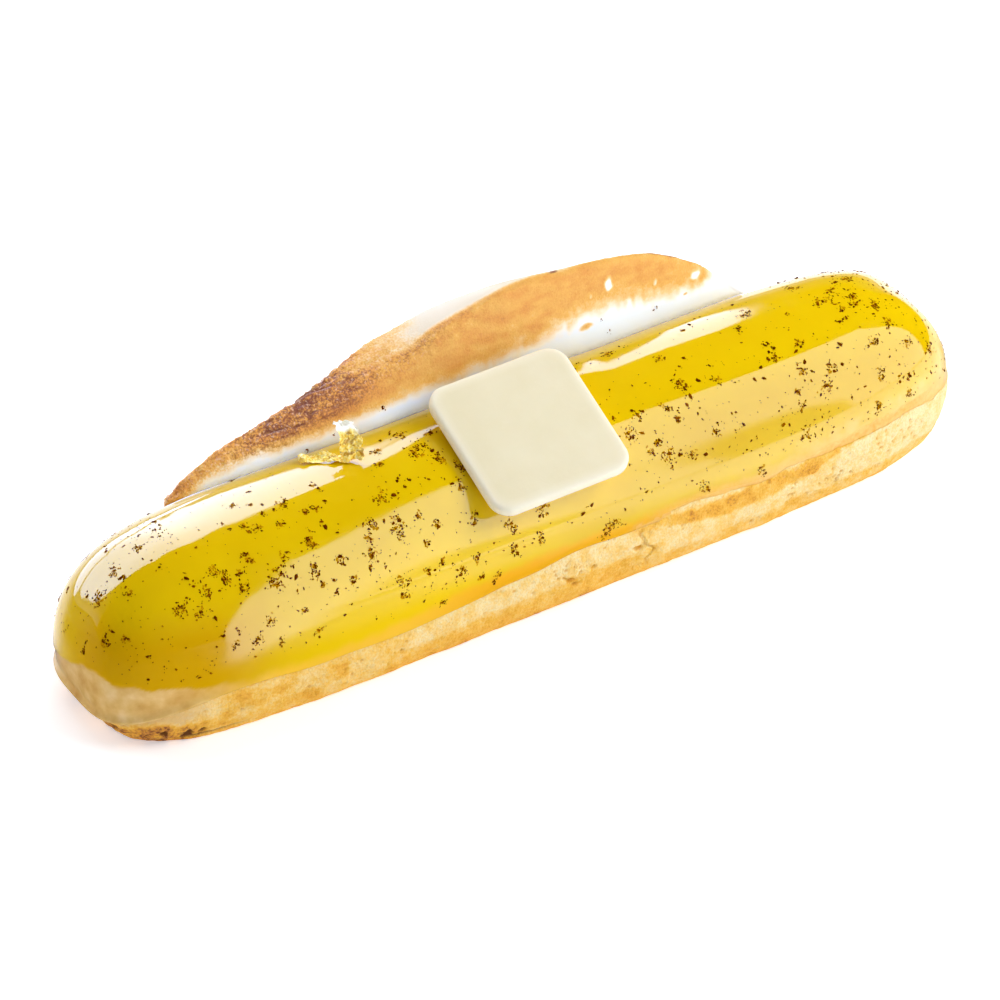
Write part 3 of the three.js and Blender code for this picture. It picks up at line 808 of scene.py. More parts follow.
def glaze_grid():
    """The outer face of the glaze from its lip to its crown, and its inner face."""
    ux, uy, turn = outline(GLAZE_ROUND)
    edge = glaze_edge(ux, turn)
    bead = along(BEAD, (LENGTH / 2) * ux)

    def rings(shares, start, inset):
        low = edge + start
        return [shell(ux, uy, np.radians(low + (90 - low) * share), inset) for share in shares]

    inner = rings(INNER_SHARES, INNER_START, GLAZE)
    lip = []
    for above, inset in LIP:
        angle = edge + above + 2.2 * (1 - bead) * smooth(LIP_TOP, -2, above)
        lip.append(shell(ux, uy, np.radians(angle), inset * bead if inset < 0 else inset))
    outer = rings(np.linspace(0, CROWN_SHARE, GLAZE_ROWS)[1:], LIP_TOP, 0)
    face = np.array(lip[LIP_INSIDE:] + outer)
    x, y, z = parts(face)
    tall = smooth(12, 22, z)
    sag = 0.05 * clouds(face, (22, 14, 14), 61, 2) * smooth(4, 14, z)
    past_lip = smooth(0, 4, np.arange(len(face)))[:, None]
    step = THIN_STEP * thin_at(face) * smooth(-52, -62, x) * past_lip
    face[..., 2] += lean_at(x, y) * tall
    face += grid_normals(face) * (sag - step)[..., None]
    return np.array(inner + lip[:LIP_INSIDE]), face


def glaze_piece(inside, face):
    grid = np.concatenate([inside, face])
    x, y, z = parts(grid)
    # Painted shade: darker glaze at the lower left end and high on the right front side
    painted_shade = smooth(-44, -60, x) * smooth(5, -6, y) * smooth(23, 16, z)
    painted_shade = painted_shade + 0.32 * smooth(-8.5, -13, y) * smooth(0, 30, x) * smooth(12, 17, z)
    # Painted light: a brighter front side, on the right and low down left of the middle
    side = 0.5 * smooth(-11, -6, y) * smooth(0, 35, x)
    side = side + 0.8 * smooth(-11.5, -15.5, y) * bell(x, -25, 18)
    near_lip = smooth(5, 1, np.arange(len(grid)) - len(inside))[:, None] * smooth(10, 22, x)
    masks = {
        "thin": thin_at(grid), "milk": smooth(-46, -68, x), "cream": smooth(16, 40, x), "painted_shade": painted_shade,
        "pale": smooth(-10, -32, x), "side": side, "ledge": np.maximum(ledge_at(grid), near_lip),
    }
    faces = closed_stack(len(grid), GLAZE_ROUND)
    return add_piece("glaze_skin", grid.reshape(-1, 3), faces, glaze_material(), masks, "glaze")


# Meringue

MERINGUE_STEPS = 560
FRONT_STEPS = 64
FLAT_STEPS = 20
BACK_STEPS = 44
UNDER_STEPS = 10
SEAT = 0.08  # how far the crest stands off the glaze
# Height along X above which the crest's front is toasted
TORCH_LINE = [
    (-53, 20.0), (-49, 24.3), (-46, 25.9), (-39, 27.1), (-31, 27.2), (-18, 28.4), (2, 29.4), (10, 30.1),
    (18.6, 31.3), (22.4, 31.0), (27.4, 29.9), (34, 28.6), (40, 27.6), (43, 29.2), (48.5, 34),
]
# How strongly the crest is toasted along X
TOAST = [
    (-53, 0.72), (-44, 0.74), (-36, 0.84), (-28, 0.88), (-20, 0.78),
    (-10, 0.7), (8, 0.66), (25, 0.64), (48, 0.6),
]
# Place, width, strength and stretch along X of the white blisters
BLISTERS = [
    (22.6, 9.0, 34.2, 1.2, 0.9, 0.8), (39.0, 9.4, 29.5, 0.8, 0.95, 2.2), (31.0, 8.6, 31.4, 0.5, 0.6, 0.8),
    (19.2, 8.4, 33.4, 0.4, 0.5, 0.8), (26.5, 8.6, 34.6, 0.4, 0.5, 1.2),
]
# Place and width of the toasted spots on the white below
STRAY_TOAST = [(17.7, 7.3, 29.3, 1.3), (36.5, 8.3, 27.6, 0.5), (15.5, 7.6, 29.9, 0.5)]
STRAY_STRETCH = (1.2, 1, 0.55)
# Colour masks of the left and the right tip
MERINGUE_TIPS = {"torch": (0.6, 0.05), "char_and_crease_shade": (0, 0), "coarse": (0.2, 0.05), "flat": (0, 0)}


def bend_curve(start, end, out, shares):
    """Points on a curve from start to end, pulled out to one side in its middle."""
    middle = (start + end) / 2 + out
    t = shares[None, :, None]
    return start[:, None] * (1 - t) ** 2 + middle[:, None] * 2 * t * (1 - t) + end[:, None] * t ** 2


def crest_fullness(x):
    """How wide the crest is along X, from 0 at its tips."""
    way = np.clip((x - CREST[0][0]) / (CREST[-1][0] - CREST[0][0]), 0, 1)
    return np.minimum(1, np.sqrt(np.sin(np.pi * way) + 0.02) * 1.06)


def crest_lines(x):
    """Y of the crest's foot, ridge and back along X."""
    full = crest_fullness(x)
    return [CREST_TIP_Y + (y - CREST_TIP_Y) * full for y in (CREST_FOOT_Y, CREST_Y, CREST_BACK_Y)]


def meringue_sections(x):
    """Cross-sections of the crest: up the front, over the flat, down the back and home along the dome."""
    full = crest_fullness(x)
    foot_y, ridge_y, back_y = crest_lines(x)
    flat = (1 + 4.3 * bell(x, -11, 14)) * full
    rise = (0.4 + 1.1 * bell(x, -21, 13)) * full

    def seat(y):
        return glaze_top(x, y) + SEAT

    zero = np.zeros(x.shape)
    ridge_z = np.maximum(along(CREST, x), seat(ridge_y) + 0.5)
    front = np.column_stack([foot_y, seat(foot_y)])
    ridge = np.column_stack([ridge_y, ridge_z])
    top = np.column_stack([ridge_y + flat, ridge_z + rise])
    back = np.column_stack([back_y, seat(back_y)])
    front_shares = np.arange(FRONT_STEPS) / FRONT_STEPS
    flat_shares = np.arange(FLAT_STEPS) / FLAT_STEPS
    back_shares = np.arange(BACK_STEPS + 1) / BACK_STEPS
    curves = [
        bend_curve(front, ridge, np.column_stack([-1.5 * full, 0.4 * full]), front_shares),
        bend_curve(ridge, top, np.column_stack([zero, 0.5 * full]), flat_shares),
        bend_curve(top, back, np.column_stack([2.6 * full, 1.2 * full]), back_shares),
    ]
    under = []
    for i in range(1, UNDER_STEPS):
        y = back_y + (foot_y - back_y) * i / UNDER_STEPS
        under.append(np.column_stack([y, seat(y)]))
    section = np.concatenate(curves + [np.array(under).transpose(1, 0, 2)], axis=1)
    places = np.broadcast_to(x[:, None, None], section.shape[:2] + (1,))
    return np.concatenate([places, section], axis=2)[:, ::-1]


def meringue_material():
    s = Shader("meringue")
    torch = s.mask("torch")
    char_and_crease_shade = s.mask("char_and_crease_shade")
    grain = s.noise(0.32, 4.0)
    patch = s.noise(1.5, 3.0, (0.4, 1, 1))
    fine = s.math("MULTIPLY", s.span(grain, 0.3, 0.7, -1.0, 1.0), s.mask("coarse"))
    vary = s.math("ADD", fine, s.span(patch, 0.3, 0.7, -0.08, 0.08))
    tone = s.math("ADD", torch, s.math("MULTIPLY", vary, s.span(torch, 0.08, 0.5)))
    colour = s.ramp(tone, [
        (0.0, srgb(240, 244, 255)), (0.12, srgb(252, 240, 224)), (0.34, srgb(243, 204, 138)),
        (0.56, srgb(233, 173, 76)), (0.78, srgb(222, 149, 60)), (1.0, srgb(178, 103, 48)),
    ])
    # Burnt colour near the peak, with painted shade in the sunken wrinkles
    char_and_shade_tone = s.math("ADD", char_and_crease_shade, s.math("MULTIPLY", vary, s.span(char_and_crease_shade, 0.0, 0.3, 0.0, 1.6)))
    colour = s.mix(s.span(char_and_shade_tone, 0.12, 1.0), colour, srgb(132, 70, 40))
    # Painted shade: the flat behind the ridge and the back are tinted a greyer cream
    colour = s.mix(s.mask("flat"), colour, srgb(224, 206, 174))
    # Painted highlights: pale pinkish crumbs on the coarse toasted crust
    crumb_highlights = s.span(s.mask("coarse"), 0.08, 0.17, 0.0, 0.5)
    crumb_highlights = s.math("MULTIPLY", s.span(s.noise(0.42, 2.0), 0.56, 0.7), crumb_highlights)
    colour = s.mix(crumb_highlights, colour, srgb(246, 206, 170))
    s.set(Base_Color=colour, Roughness=s.span(torch, 0.0, 0.6, 0.34, 0.5), Specular_IOR_Level=0.5,
          Subsurface_Weight=s.span(torch, 0.0, 0.35, 0.95, 0.2), Subsurface_Radius=(0.9, 0.95, 1.0),
          Subsurface_Scale=0.004)
    rough = s.math("MULTIPLY", s.noise(0.26, 3.0), s.span(torch, 0.15, 0.6, 0.04, 1.0))
    s.bump(rough, 0.13)
    return s.material


def meringue_masks(place, normal):
    """How far each point of the crest moves out, and the masks that colour it."""
    x, y, z = parts(place)
    ridge = along(CREST, x)
    right = smooth(-8, 14, x)
    wisps = (0.5 + 0.4 * right) * clouds(place, (2.6, 2.6, 1.5), 77)
    wisps = wisps + (0.2 + 0.35 * right) * noise(place, (0.7, 0.7, 3.0), 78)
    over = z - along(TORCH_LINE, x) + wisps
    soft = 1.7 + 0.3 * right
    torch = smooth(-0.9 * soft, 1.3 * soft, over)
    torch = torch * (along(TOAST, x) + 0.1 * clouds(place, (7, 3, 3), 79) + 0.06 * noise(place, 1.3, 76))
    # The flat behind the ridge is paler, most of all on the right, and so is most of the back
    ragged_x = x + 7 * clouds(place, (5, 3, 3), 98)
    ragged_y = y + 0.4 * clouds(place, 4, 80)
    behind = smooth(CREST_Y + 0.3, CREST_Y + 1.5, ragged_y) * smooth(-28, -6, ragged_x)
    torch = np.maximum(torch * (1 - behind * (0.45 + 0.45 * smooth(-16, 2, x))), 0.15 * behind)
    rise = (z - 20) / np.maximum(ridge - 20, 1)
    low_back = smooth(CREST_Y + 1, CREST_Y + 2.5, y) * smooth(0.9, 0.55, rise)
    torch = torch * (1 - 0.75 * low_back)
    peak = z.max(axis=1, keepdims=True)
    depth = peak - z + 1.3 * clouds(place, (3.2, 3, 2), 97) + 0.5 * noise(place, (0.8, 0.8, 3), 99)
    back_toast = smooth(1.0, 2.2, peak - z) * smooth(7.5, 2.0, depth) * smooth(0.2, 0.6, normal[..., 1])
    torch = np.maximum(torch, 0.62 * back_toast * smooth(-51, -42, x) * smooth(46, 36, x))

    blister = np.zeros(x.shape)
    torn = 1 + 0.45 * noise(place, 0.8, 84)
    for *spot, wide, strength, stretch in BLISTERS:
        off = (place - np.array(spot)) / np.array([stretch, 1, 1])
        off[..., 0] -= 0.35 * off[..., 2]
        reach = np.linalg.norm(off, axis=-1) * torn
        blister = np.maximum(blister, strength * smooth(wide, wide * 0.35, reach))
    for *spot, wide in STRAY_TOAST:
        reach = reach_from(place, spot, STRAY_STRETCH) + 0.2 * noise(place, 0.5, 81)
        torch = np.maximum(torch, 0.5 * smooth(wide, wide * 0.4, reach))
    torch = torch * (1 - blister)

    wrinkle = 1 - np.abs(noise(place, (3.4, 1.0, 1.0), 93)) * 2.4
    wrinkle = np.clip(wrinkle + 0.4 * noise(place, (1.1, 0.5, 0.5), 95), 0, 1)
    band = bell(x, -30, 10) * bell(z - peak, -0.8, 2.1)
    # Charring near the peak; its extra darkness in the sunken wrinkles is painted shade
    char_and_crease_shade = band * (0.62 + 0.6 * wrinkle) + 0.2 * bell(x, -24, 14) * bell(z - peak, -3.4, 1.6)
    ridge_line = bell(np.hypot(y - CREST_Y, z - ridge), 0.3, 0.8) * bell(x, -10, 7)
    char_and_crease_shade = char_and_crease_shade * (1 - 0.8 * behind) + 0.4 * ridge_line * (0.6 + 0.4 * wrinkle)
    char_and_crease_shade = char_and_crease_shade + 0.14 * smooth(0.1, 0.7, clouds(place, (6, 2.5, 2.5), 82)) * torch
    crest_line = bell(z - peak, 0, 0.1) * (bell(x, 14.2, 0.9) + 0.6 * smooth(28, 32, x) * smooth(39, 36, x))
    char_and_crease_shade = np.maximum(char_and_crease_shade, crest_line)

    crisp = smooth(0.2, 0.55, torch)
    grain_gap, grain_number = cells(place, 0.5, 91)
    grains = smooth(0.6, 0.15, grain_gap) * (0.3 + 0.7 * grain_number)
    groove = clouds(place * np.array([0.25, 1, 1]), 1.7, 92)
    coarse = 0.05 + smooth(12, -24, x) * (0.02 + 0.1 * smooth(-4.5, -1.0, z - peak))
    relief = 0.9 * coarse * grains + 0.16 * groove + 0.8 * coarse * noise(place, 0.9, 96)
    relief = crisp * relief - 0.55 * band * wrinkle
    relief = relief + 0.1 * clouds(place, 5, 94, 2) + 0.25 * blister
    # Painted shade on the flat behind the ridge and on the back
    flat = 0.85 * behind * smooth(2.6, 1.0, peak - z) * smooth(-24, -5, ragged_x)
    flat = np.maximum(flat, 0.4 * smooth(CREST_Y + 0.3, CREST_Y + 1.5, y)) * smooth(0.5, 0.2, torch)
    return relief, {"torch": torch, "char_and_crease_shade": np.clip(char_and_crease_shade, 0, 1), "coarse": coarse, "flat": flat}


def meringue_piece():
    tip_left = CREST[0][0]
    tip_right = CREST[-1][0]
    share = 0.5 - 0.5 * np.cos(np.pi * (0.04 + 0.92 * np.arange(MERINGUE_STEPS + 1) / MERINGUE_STEPS))
    even = np.linspace(share[0], share[-1], MERINGUE_STEPS + 1)
    x = tip_left + (tip_right - tip_left) * (0.35 * share + 0.65 * even)
    grid = meringue_sections(x)
    count = grid.shape[1]
    sign = outward_sign(grid)
    normal = sign * grid_normals(grid)
    relief, masks = meringue_masks(grid, normal)
    above = grid[..., 2] - glaze_top(grid[..., 0], grid[..., 1])
    grid = grid + normal * (relief * smooth(SEAT, SEAT + 0.7, above))[..., None]
    points = np.concatenate([grid.reshape(-1, 3), grid[0].mean(0)[None], grid[-1].mean(0)[None]])
    faces = stack_faces(len(x), count) + fan_faces(0, count, len(points) - 2, False)
    faces += fan_faces((len(x) - 1) * count, count, len(points) - 1, True)
    if sign < 0:
        faces = [face[::-1] for face in faces]
    for key, at_tips in MERINGUE_TIPS.items():
        masks[key] = np.concatenate([masks[key].ravel(), at_tips])
    return add_piece("meringue_crest", points, faces, meringue_material(), masks, "meringue")


# Plaque piece

PLAQUE_TURNS = 14
PLAQUE_TOP_RINGS = 14
# Inset, height and painted highlight of the rings round the plaque's edge
PLAQUE_EDGE = [
    (0.6, 0, 0), (0.3, 0.06, 0.1), (0.12, 0.2, 0.3), (0.03, 0.4, 0.5), (0, 0.65, 0.7), (0, 1.0, 0.9),
    (0, 1.25, 1), (0.05, 1.45, 1), (0.15, 1.62, 1), (0.3, 1.78, 1), (0.5, 1.9, 0.9), (0.8, 1.97, 0.6),
    (1.2, PLAQUE_THICK, 0.3),
]


def plaque_material():
    s = Shader("plaque")
    cloud = s.noise(7.0, 3.0)
    speckle = s.noise(0.5, 3.0)
    colour = s.ramp(cloud, [(0.3, srgb(240, 230, 198)), (0.7, srgb(235, 224, 189))])
    colour = s.mix(s.span(speckle, 0.6, 0.8, 0.0, 0.25), colour, srgb(246, 238, 214))
    # Painted highlight: the rounded rim is paler
    colour = s.mix(s.math("MULTIPLY", s.mask("rim"), 0.6), colour, srgb(252, 245, 226))
    s.set(Base_Color=colour, Roughness=s.span(speckle, 0.3, 0.7, 0.44, 0.56), Specular_IOR_Level=0.05,
          Subsurface_Weight=0.2, Subsurface_Radius=(1.0, 0.85, 0.6), Subsurface_Scale=0.001)
    s.bump(s.math("ADD", s.noise(1.4, 3.0), s.math("MULTIPLY", speckle, 0.3)), 0.025)
    return s.material


def plaque_piece():
    rings = plaque_rings([(inset, z) for inset, z, pale in PLAQUE_EDGE], PLAQUE_TURNS)
    rim_highlights = [pale for inset, z, pale in PLAQUE_EDGE] + [0] * PLAQUE_TOP_RINGS
    top = rings[-1]
    for scale in np.linspace(1, 0, PLAQUE_TOP_RINGS + 2)[1:-1]:
        rings.append(top * np.array([scale, scale, 1]))
    grid = np.array(rings)
    upper = grid[..., 2] >= PLAQUE_THICK - 0.05
    grid[..., 2] += np.where(upper, 0.03 * clouds(grid, 6, 51), 0)
    points = np.concatenate([grid.reshape(-1, 3), [[0, 0, PLAQUE_THICK], [0, 0, 0]]])
    rows, count = grid.shape[:2]
    faces = stack_faces(rows, count) + fan_faces((rows - 1) * count, count, len(points) - 2, True)
    faces += fan_faces(0, count, len(points) - 1, False)
    rim = np.concatenate([np.repeat(rim_highlights, count), [0, 0]])
    placed = points @ PLAQUE_TURN.T + PLAQUE_SPOT
    return add_piece("chocolate_plaque", placed, faces, plaque_material(), {"rim": rim}, "plaque")


# Gold leaf

LEAF_STEPS_U = 64
LEAF_STEPS_V = 15
LEAF_SEED = 5
LEAF_LIFT = 0.2
LEAF_SIDES = (-0.3, 0.3)  # where the two faces lie, in shares of the part's leaf thickness


def leaf_surface(u, v):
    """Middle surface of the gold leaf: u runs from the tail's end to the curl's top, v across it."""
    tail_share = 0.5
    across = v - 0.5
    run = np.minimum(u / tail_share, 1)
    tail_x = LEAF_X + 1.6 + (LEAF_TAIL - 2.4) * run + 0.5 * across
    tail_y = LEAF_Y + 1.5 - 4.2 * run + 1.5 * across
    tail_z = dome_height(tail_x, tail_y) + 0.5 + 0.9 * across + 0.35 * np.sin(11 * run + 2 * v)
    climb = np.clip((u - tail_share) / (1 - tail_share), 0, 1)
    wide = LEAF_WIDE * (1.0 + 0.1 * np.sin(3 * climb) - 0.12 * climb)
    root_x = LEAF_X + LEAF_TAIL - 0.6
    root_y = LEAF_Y - 3.6
    over = smooth(0.78, 1.0, climb)
    curl_x = root_x + 0.84 * wide * across + 0.3 * climb
    curl_y = root_y - 0.54 * wide * across + 2.2 * climb + 1.5 * over + 0.5 * np.cos(5 * across) * climb
    curl_z = dome_height(root_x, root_y) + 0.25 + LEAF_RISE * 0.96 * climb
    curl_z = curl_z - 0.5 * over ** 2 + 0.3 * across * climb
    tail = np.stack([tail_x, tail_y, tail_z], -1)
    curl = np.stack([curl_x, curl_y, curl_z], -1)
    joined = smooth(tail_share - 0.03, tail_share + 0.03, u)[..., None]
    return tail * (1 - joined) + curl * joined


def leaf_material():
    s = Shader("gold_leaf")
    flake = s.noise(0.4, 4.0)
    colour = s.ramp(flake, [
        (0.3, srgb(252, 204, 62)), (0.5, srgb(255, 230, 116)), (0.7, srgb(255, 248, 192)),
    ])
    # Painted shade in the sunken folds, with random darker patches
    colour = s.mix(s.span(s.mask("crease_shade"), 0.5, 1.1, 0.0, 0.8), colour, srgb(172, 112, 12))
    # Painted glint: the top of the curl turns near white
    colour = s.mix(s.mask("painted_glint"), colour, srgb(255, 254, 246))
    s.set(Base_Color=colour, Metallic=0.08, Roughness=s.span(flake, 0.3, 0.7, 0.26, 0.42),
          Specular_IOR_Level=0.5)
    s.bump(s.noise(0.25, 4.0), 0.05, 0.6)
    return s.material


def leaf_piece():
    u_shares = np.linspace(0, 1, LEAF_STEPS_U + 1)
    v_shares = np.linspace(0, 1, LEAF_STEPS_V + 1)
    u, v = np.meshgrid(u_shares, v_shares, indexing="ij")
    torn = 0.12 * noise(np.stack([u * 40, 0 * u, np.round(v) * 50], -1), 1.6, 7) * np.abs(2 * v - 1)
    middle = leaf_surface(u, np.clip(v + torn * np.sign(0.5 - v), 0, 1))
    ends = 0.5 * noise(np.stack([v * 9, 0 * v, np.round(u) * 50], -1), 1.1, 8) * smooth(0.9, 1.0, u)
    middle[..., 2] += ends
    normal = unit(np.cross(np.gradient(middle, axis=0), np.gradient(middle, axis=1)))
    folds = np.abs(noise(middle, 1.5, 71)) - 0.35 + 0.5 * (np.abs(noise(middle, 0.7, 72)) - 0.35)
    jitter = np.random.default_rng(LEAF_SEED).normal(0, 0.05, middle.shape)
    middle = middle + normal * (0.55 * folds)[..., None] + jitter
    x, y, z = parts(middle)
    middle[..., 2] = np.maximum(z, dome_height(x, y) + lean_at(x, y) + LEAF_LIFT)
    # Painted shade in the sunken folds, with random darker patches
    crease_shade = smooth(-0.1, -0.4, folds) + 0.4 * smooth(0.3, 0.8, noise(middle, 0.5, 73))
    row = LEAF_STEPS_V + 1
    layer = row * (LEAF_STEPS_U + 1)
    points = np.concatenate([(middle + normal * side * LEAF_THICK).reshape(-1, 3) for side in LEAF_SIDES])
    i, j = np.meshgrid(np.arange(LEAF_STEPS_U), np.arange(LEAF_STEPS_V), indexing="ij")
    a = (i * row + j).ravel()
    b = a + row
    lower = np.concatenate([np.stack([a, a + 1, b + 1], -1), np.stack([a, b + 1, b], -1)])
    upper = np.concatenate([np.stack([a, b + 1, a + 1], -1), np.stack([a, b, b + 1], -1)]) + layer
    rim = list(range(LEAF_STEPS_V)) + [k * row + LEAF_STEPS_V for k in range(LEAF_STEPS_U)]
    rim += [LEAF_STEPS_U * row + k for k in range(LEAF_STEPS_V, 0, -1)]
    rim += [k * row for k in range(LEAF_STEPS_U, 0, -1)]
    faces = lower.tolist() + upper.tolist()
    for k, here in enumerate(rim):
        there = rim[(k + 1) % len(rim)]
        faces.append([here, here + layer, there + layer, there])
    # Painted glint at the top of the curl
    painted_glint = smooth(0.86, 0.93, u + 0.04 * noise(middle, 0.8, 74))
    masks = {"crease_shade": np.tile(crease_shade.ravel(), 2), "painted_glint": np.tile(painted_glint.ravel(), 2)}
    return add_piece("gold_leaf_scrap", points, faces, leaf_material(), masks, "gold_leaf",
                     rounded=False)


# Specks

GRAIN_SEED = 77
# Clumps that the photo shows: pixel, and reach in pixels
SEEN_CLUMPS = [
    (99, 598, 10), (113, 572, 7), (124, 579, 4), (138, 550, 7), (128, 595, 6), (182, 610, 9), (201, 614, 6),
    (205, 592, 6), (218, 573, 9), (226, 581, 7), (247, 560, 8), (241, 587, 7), (239, 574, 5), (277, 586, 9),
    (280, 575, 7), (283, 557, 6), (312, 547, 9), (279, 524, 5), (281, 505, 7), (304, 513, 5), (316, 509, 5),
    (250, 505, 4), (231, 507, 5), (256, 529, 6), (243, 527, 5), (103, 643, 7), (124, 639, 5), (84, 652, 5),
    (235, 645, 5), (258, 640, 6), (269, 622, 6), (282, 643, 5), (317, 576, 6), (322, 586, 4), (304, 612, 5),
    (417, 451, 12), (438, 461, 9), (462, 466, 9), (378, 451, 7), (380, 464, 6), (379, 497, 9), (461, 488, 7),
    (395, 517, 6), (399, 529, 9), (371, 527, 7), (367, 539, 6), (371, 556, 9), (437, 523, 6), (418, 518, 5),
    (475, 520, 7), (427, 544, 5), (511, 526, 9), (541, 509, 9), (613, 526, 9), (606, 535, 6), (353, 578, 6),
    (314, 567, 6), (340, 562, 6), (402, 582, 8), (406, 597, 6), (462, 569, 7), (477, 560, 6), (481, 578, 5),
    (496, 577, 6), (514, 551, 8), (540, 539, 7), (318, 631, 5), (442, 603, 5), (428, 570, 5), (442, 561, 4),
    (824, 301, 10), (852, 296, 8), (856, 304, 6), (844, 309, 5), (875, 304, 8), (828, 290, 5), (793, 288, 7),
    (846, 278, 6), (744, 313, 8), (738, 329, 5), (659, 358, 6), (683, 385, 9), (716, 380, 6), (664, 407, 6),
    (773, 358, 7), (801, 342, 6), (803, 370, 7), (797, 391, 5), (803, 406, 6), (827, 386, 8), (830, 368, 7),
    (873, 343, 7), (883, 376, 8), (907, 341, 7), (889, 323, 6), (930, 348, 7), (879, 405, 7), (911, 390, 7),
    (807, 433, 8), (762, 471, 7), (705, 486, 7), (668, 455, 9), (658, 440, 6), (677, 420, 5), (692, 454, 6),
    (716, 433, 6), (649, 452, 6), (607, 354, 7), (638, 416, 7), (628, 434, 9), (401, 435, 7), (428, 433, 6),
    (232, 481, 5), (311, 486, 4), (248, 493, 4),
]
# Groups of grains on the meringue: pixel, and number
SEEN_ON_MERINGUE = [
    (383, 409, 3), (333, 437, 2), (307, 452, 3), (602, 320, 2), (655, 307, 3), (611, 333, 1),
]
LONE_GRAINS = 1600
BACK_CLUMPS = 90
GRAIN_SIDES = 6
# Smallest and largest radius of the grains in each kind of clump
DUST_SIZES = (0.08, 0.2)
BACK_SIZES = (0.1, 0.24)
SEEN_SIZES = (0.095, 0.225)
PALE_SIZES = (0.12, 0.26)
MERINGUE_SIZES = (0.07, 0.22)
# Ranges of the glaze that the plaque, the gold leaf and the meringue cover
PLAQUE_COVERS_X = 13.4
PLAQUE_COVERS_Y = (-15.4, 4.2)
LEAF_COVERS_X = (LEAF_X - 2, LEAF_X + 14)
LEAF_COVERS_Y = (-1.5, 7)
CREST_COVERS_X = (-56, 51.5)
CREST_COVERS_Y = CREST_FOOT_Y - 1.4
PART_CREST_LOW = 13
GRAIN_CREST_LOW = 15.2
GRAIN_LOW = 10.5
# At the left end the grains keep this far above the thin glaze's line
THIN_END_X = -56
THIN_END_RISE = 0.6
# Other choices for the scattered grains
PART_GRAIN = 0.66  # a grain's radius as a share of the part's own speck
HEAP_GRAINS = 9  # about how many grains lie in each heap of a clump
FIRST_ROW = 8  # row of the glaze's outer face where grains start
IN_VIEW_SHARE = 0.05  # how far a spot on the camera's side counts as one of the back clumps


def is_covered(spot, crest_low):
    """Whether the plaque, the gold leaf or the meringue lies over a point of the glaze."""
    x, y, z = spot
    on_plaque = abs(x - PLAQUE_X) < PLAQUE_COVERS_X and PLAQUE_COVERS_Y[0] < y < PLAQUE_COVERS_Y[1]
    on_leaf = LEAF_COVERS_X[0] < x < LEAF_COVERS_X[1] and LEAF_COVERS_Y[0] < y < LEAF_COVERS_Y[1]
    on_crest = CREST_COVERS_X[0] < x < CREST_COVERS_X[1] and y > CREST_COVERS_Y and z > crest_low
    return on_plaque or on_leaf or on_crest


def is_free(spot):
    """Whether a scattered grain may lie there: also behind the crest, but not on the thin lower edge."""
    x, _, z = spot
    on_edge = z < GRAIN_LOW or (x < THIN_END_X and z < along(THIN_LINE, x) + THIN_END_RISE)
    return not (on_edge or is_covered(spot, GRAIN_CREST_LOW))


def cad_specks():
    """The part's own specks: where each lies and its radius."""
    ux, uy, _ = outline(SPECK_ROUND)
    draw = random_source(SPECK_SEED)
    spots = []

    def shell_at(place, angle):
        low = math.floor(place)
        share = place - low
        a = low % SPECK_ROUND
        b = (low + 1) % SPECK_ROUND
        mixed_x = ux[a] + (ux[b] - ux[a]) * share
        mixed_y = uy[a] + (uy[b] - uy[a]) * share
        return shell(mixed_x, mixed_y, np.array(angle), 0.0)

    for clump in range(SPECK_CLUMPS):
        middle_place = SPECK_ROUND * (clump + draw()) / SPECK_CLUMPS
        middle_angle = SPECK_LOWEST + (SPECK_HIGHEST - SPECK_LOWEST) * draw()
        grains = 1 + math.floor(3 * draw())
        for _ in range(grains):
            place = middle_place + 1.2 * (draw() - 0.5)
            angle = math.radians(min(SPECK_HIGHEST, middle_angle + 9 * (draw() - 0.5)))
            radius = SPECK_SMALL + (SPECK_LARGE - SPECK_SMALL) * draw()
            spot = shell_at(place, angle)
            crowded = abs(spot[0]) > SPINE and draw() > math.cos(angle)
            if not is_covered(spot, PART_CREST_LOW) and not crowded:
                spots.append((spot, radius))
    return spots


def scatter(surface, rng, spot, normal, reach, count, sizes, pale=False):
    """Grains in small heaps round one spot of a surface: place, outward direction, radius and paleness."""
    side = normal.orthogonal().normalized()
    other = normal.cross(side)
    heaps = [(0.0, 0.0)]
    for _ in range(1 + int(count / HEAP_GRAINS)):
        far = reach * math.sqrt(rng.random())
        turn = 2 * math.pi * rng.random()
        heaps.append((far * math.cos(turn), far * math.sin(turn)))
    found = []
    for _ in range(count):
        heap = heaps[int(rng.integers(len(heaps)))]
        spread = reach * (0.16 + 0.5 * rng.random() ** 3)
        at = spot + side * (heap[0] + spread * rng.normal()) + other * (heap[1] + spread * rng.normal())
        here, outward, _, _ = surface.find_nearest(at)
        size = sizes[0] + (sizes[1] - sizes[0]) * rng.random() ** 2
        if here is not None:
            found.append((here, outward, size, pale))
    return found


def seen_spot(surface, u, v):
    """Where the camera's ray through a pixel meets a surface, and the outward direction there."""
    start, way = pixel_ray(u, v)
    return surface.ray_cast(Vector(start), Vector(way))[:2]


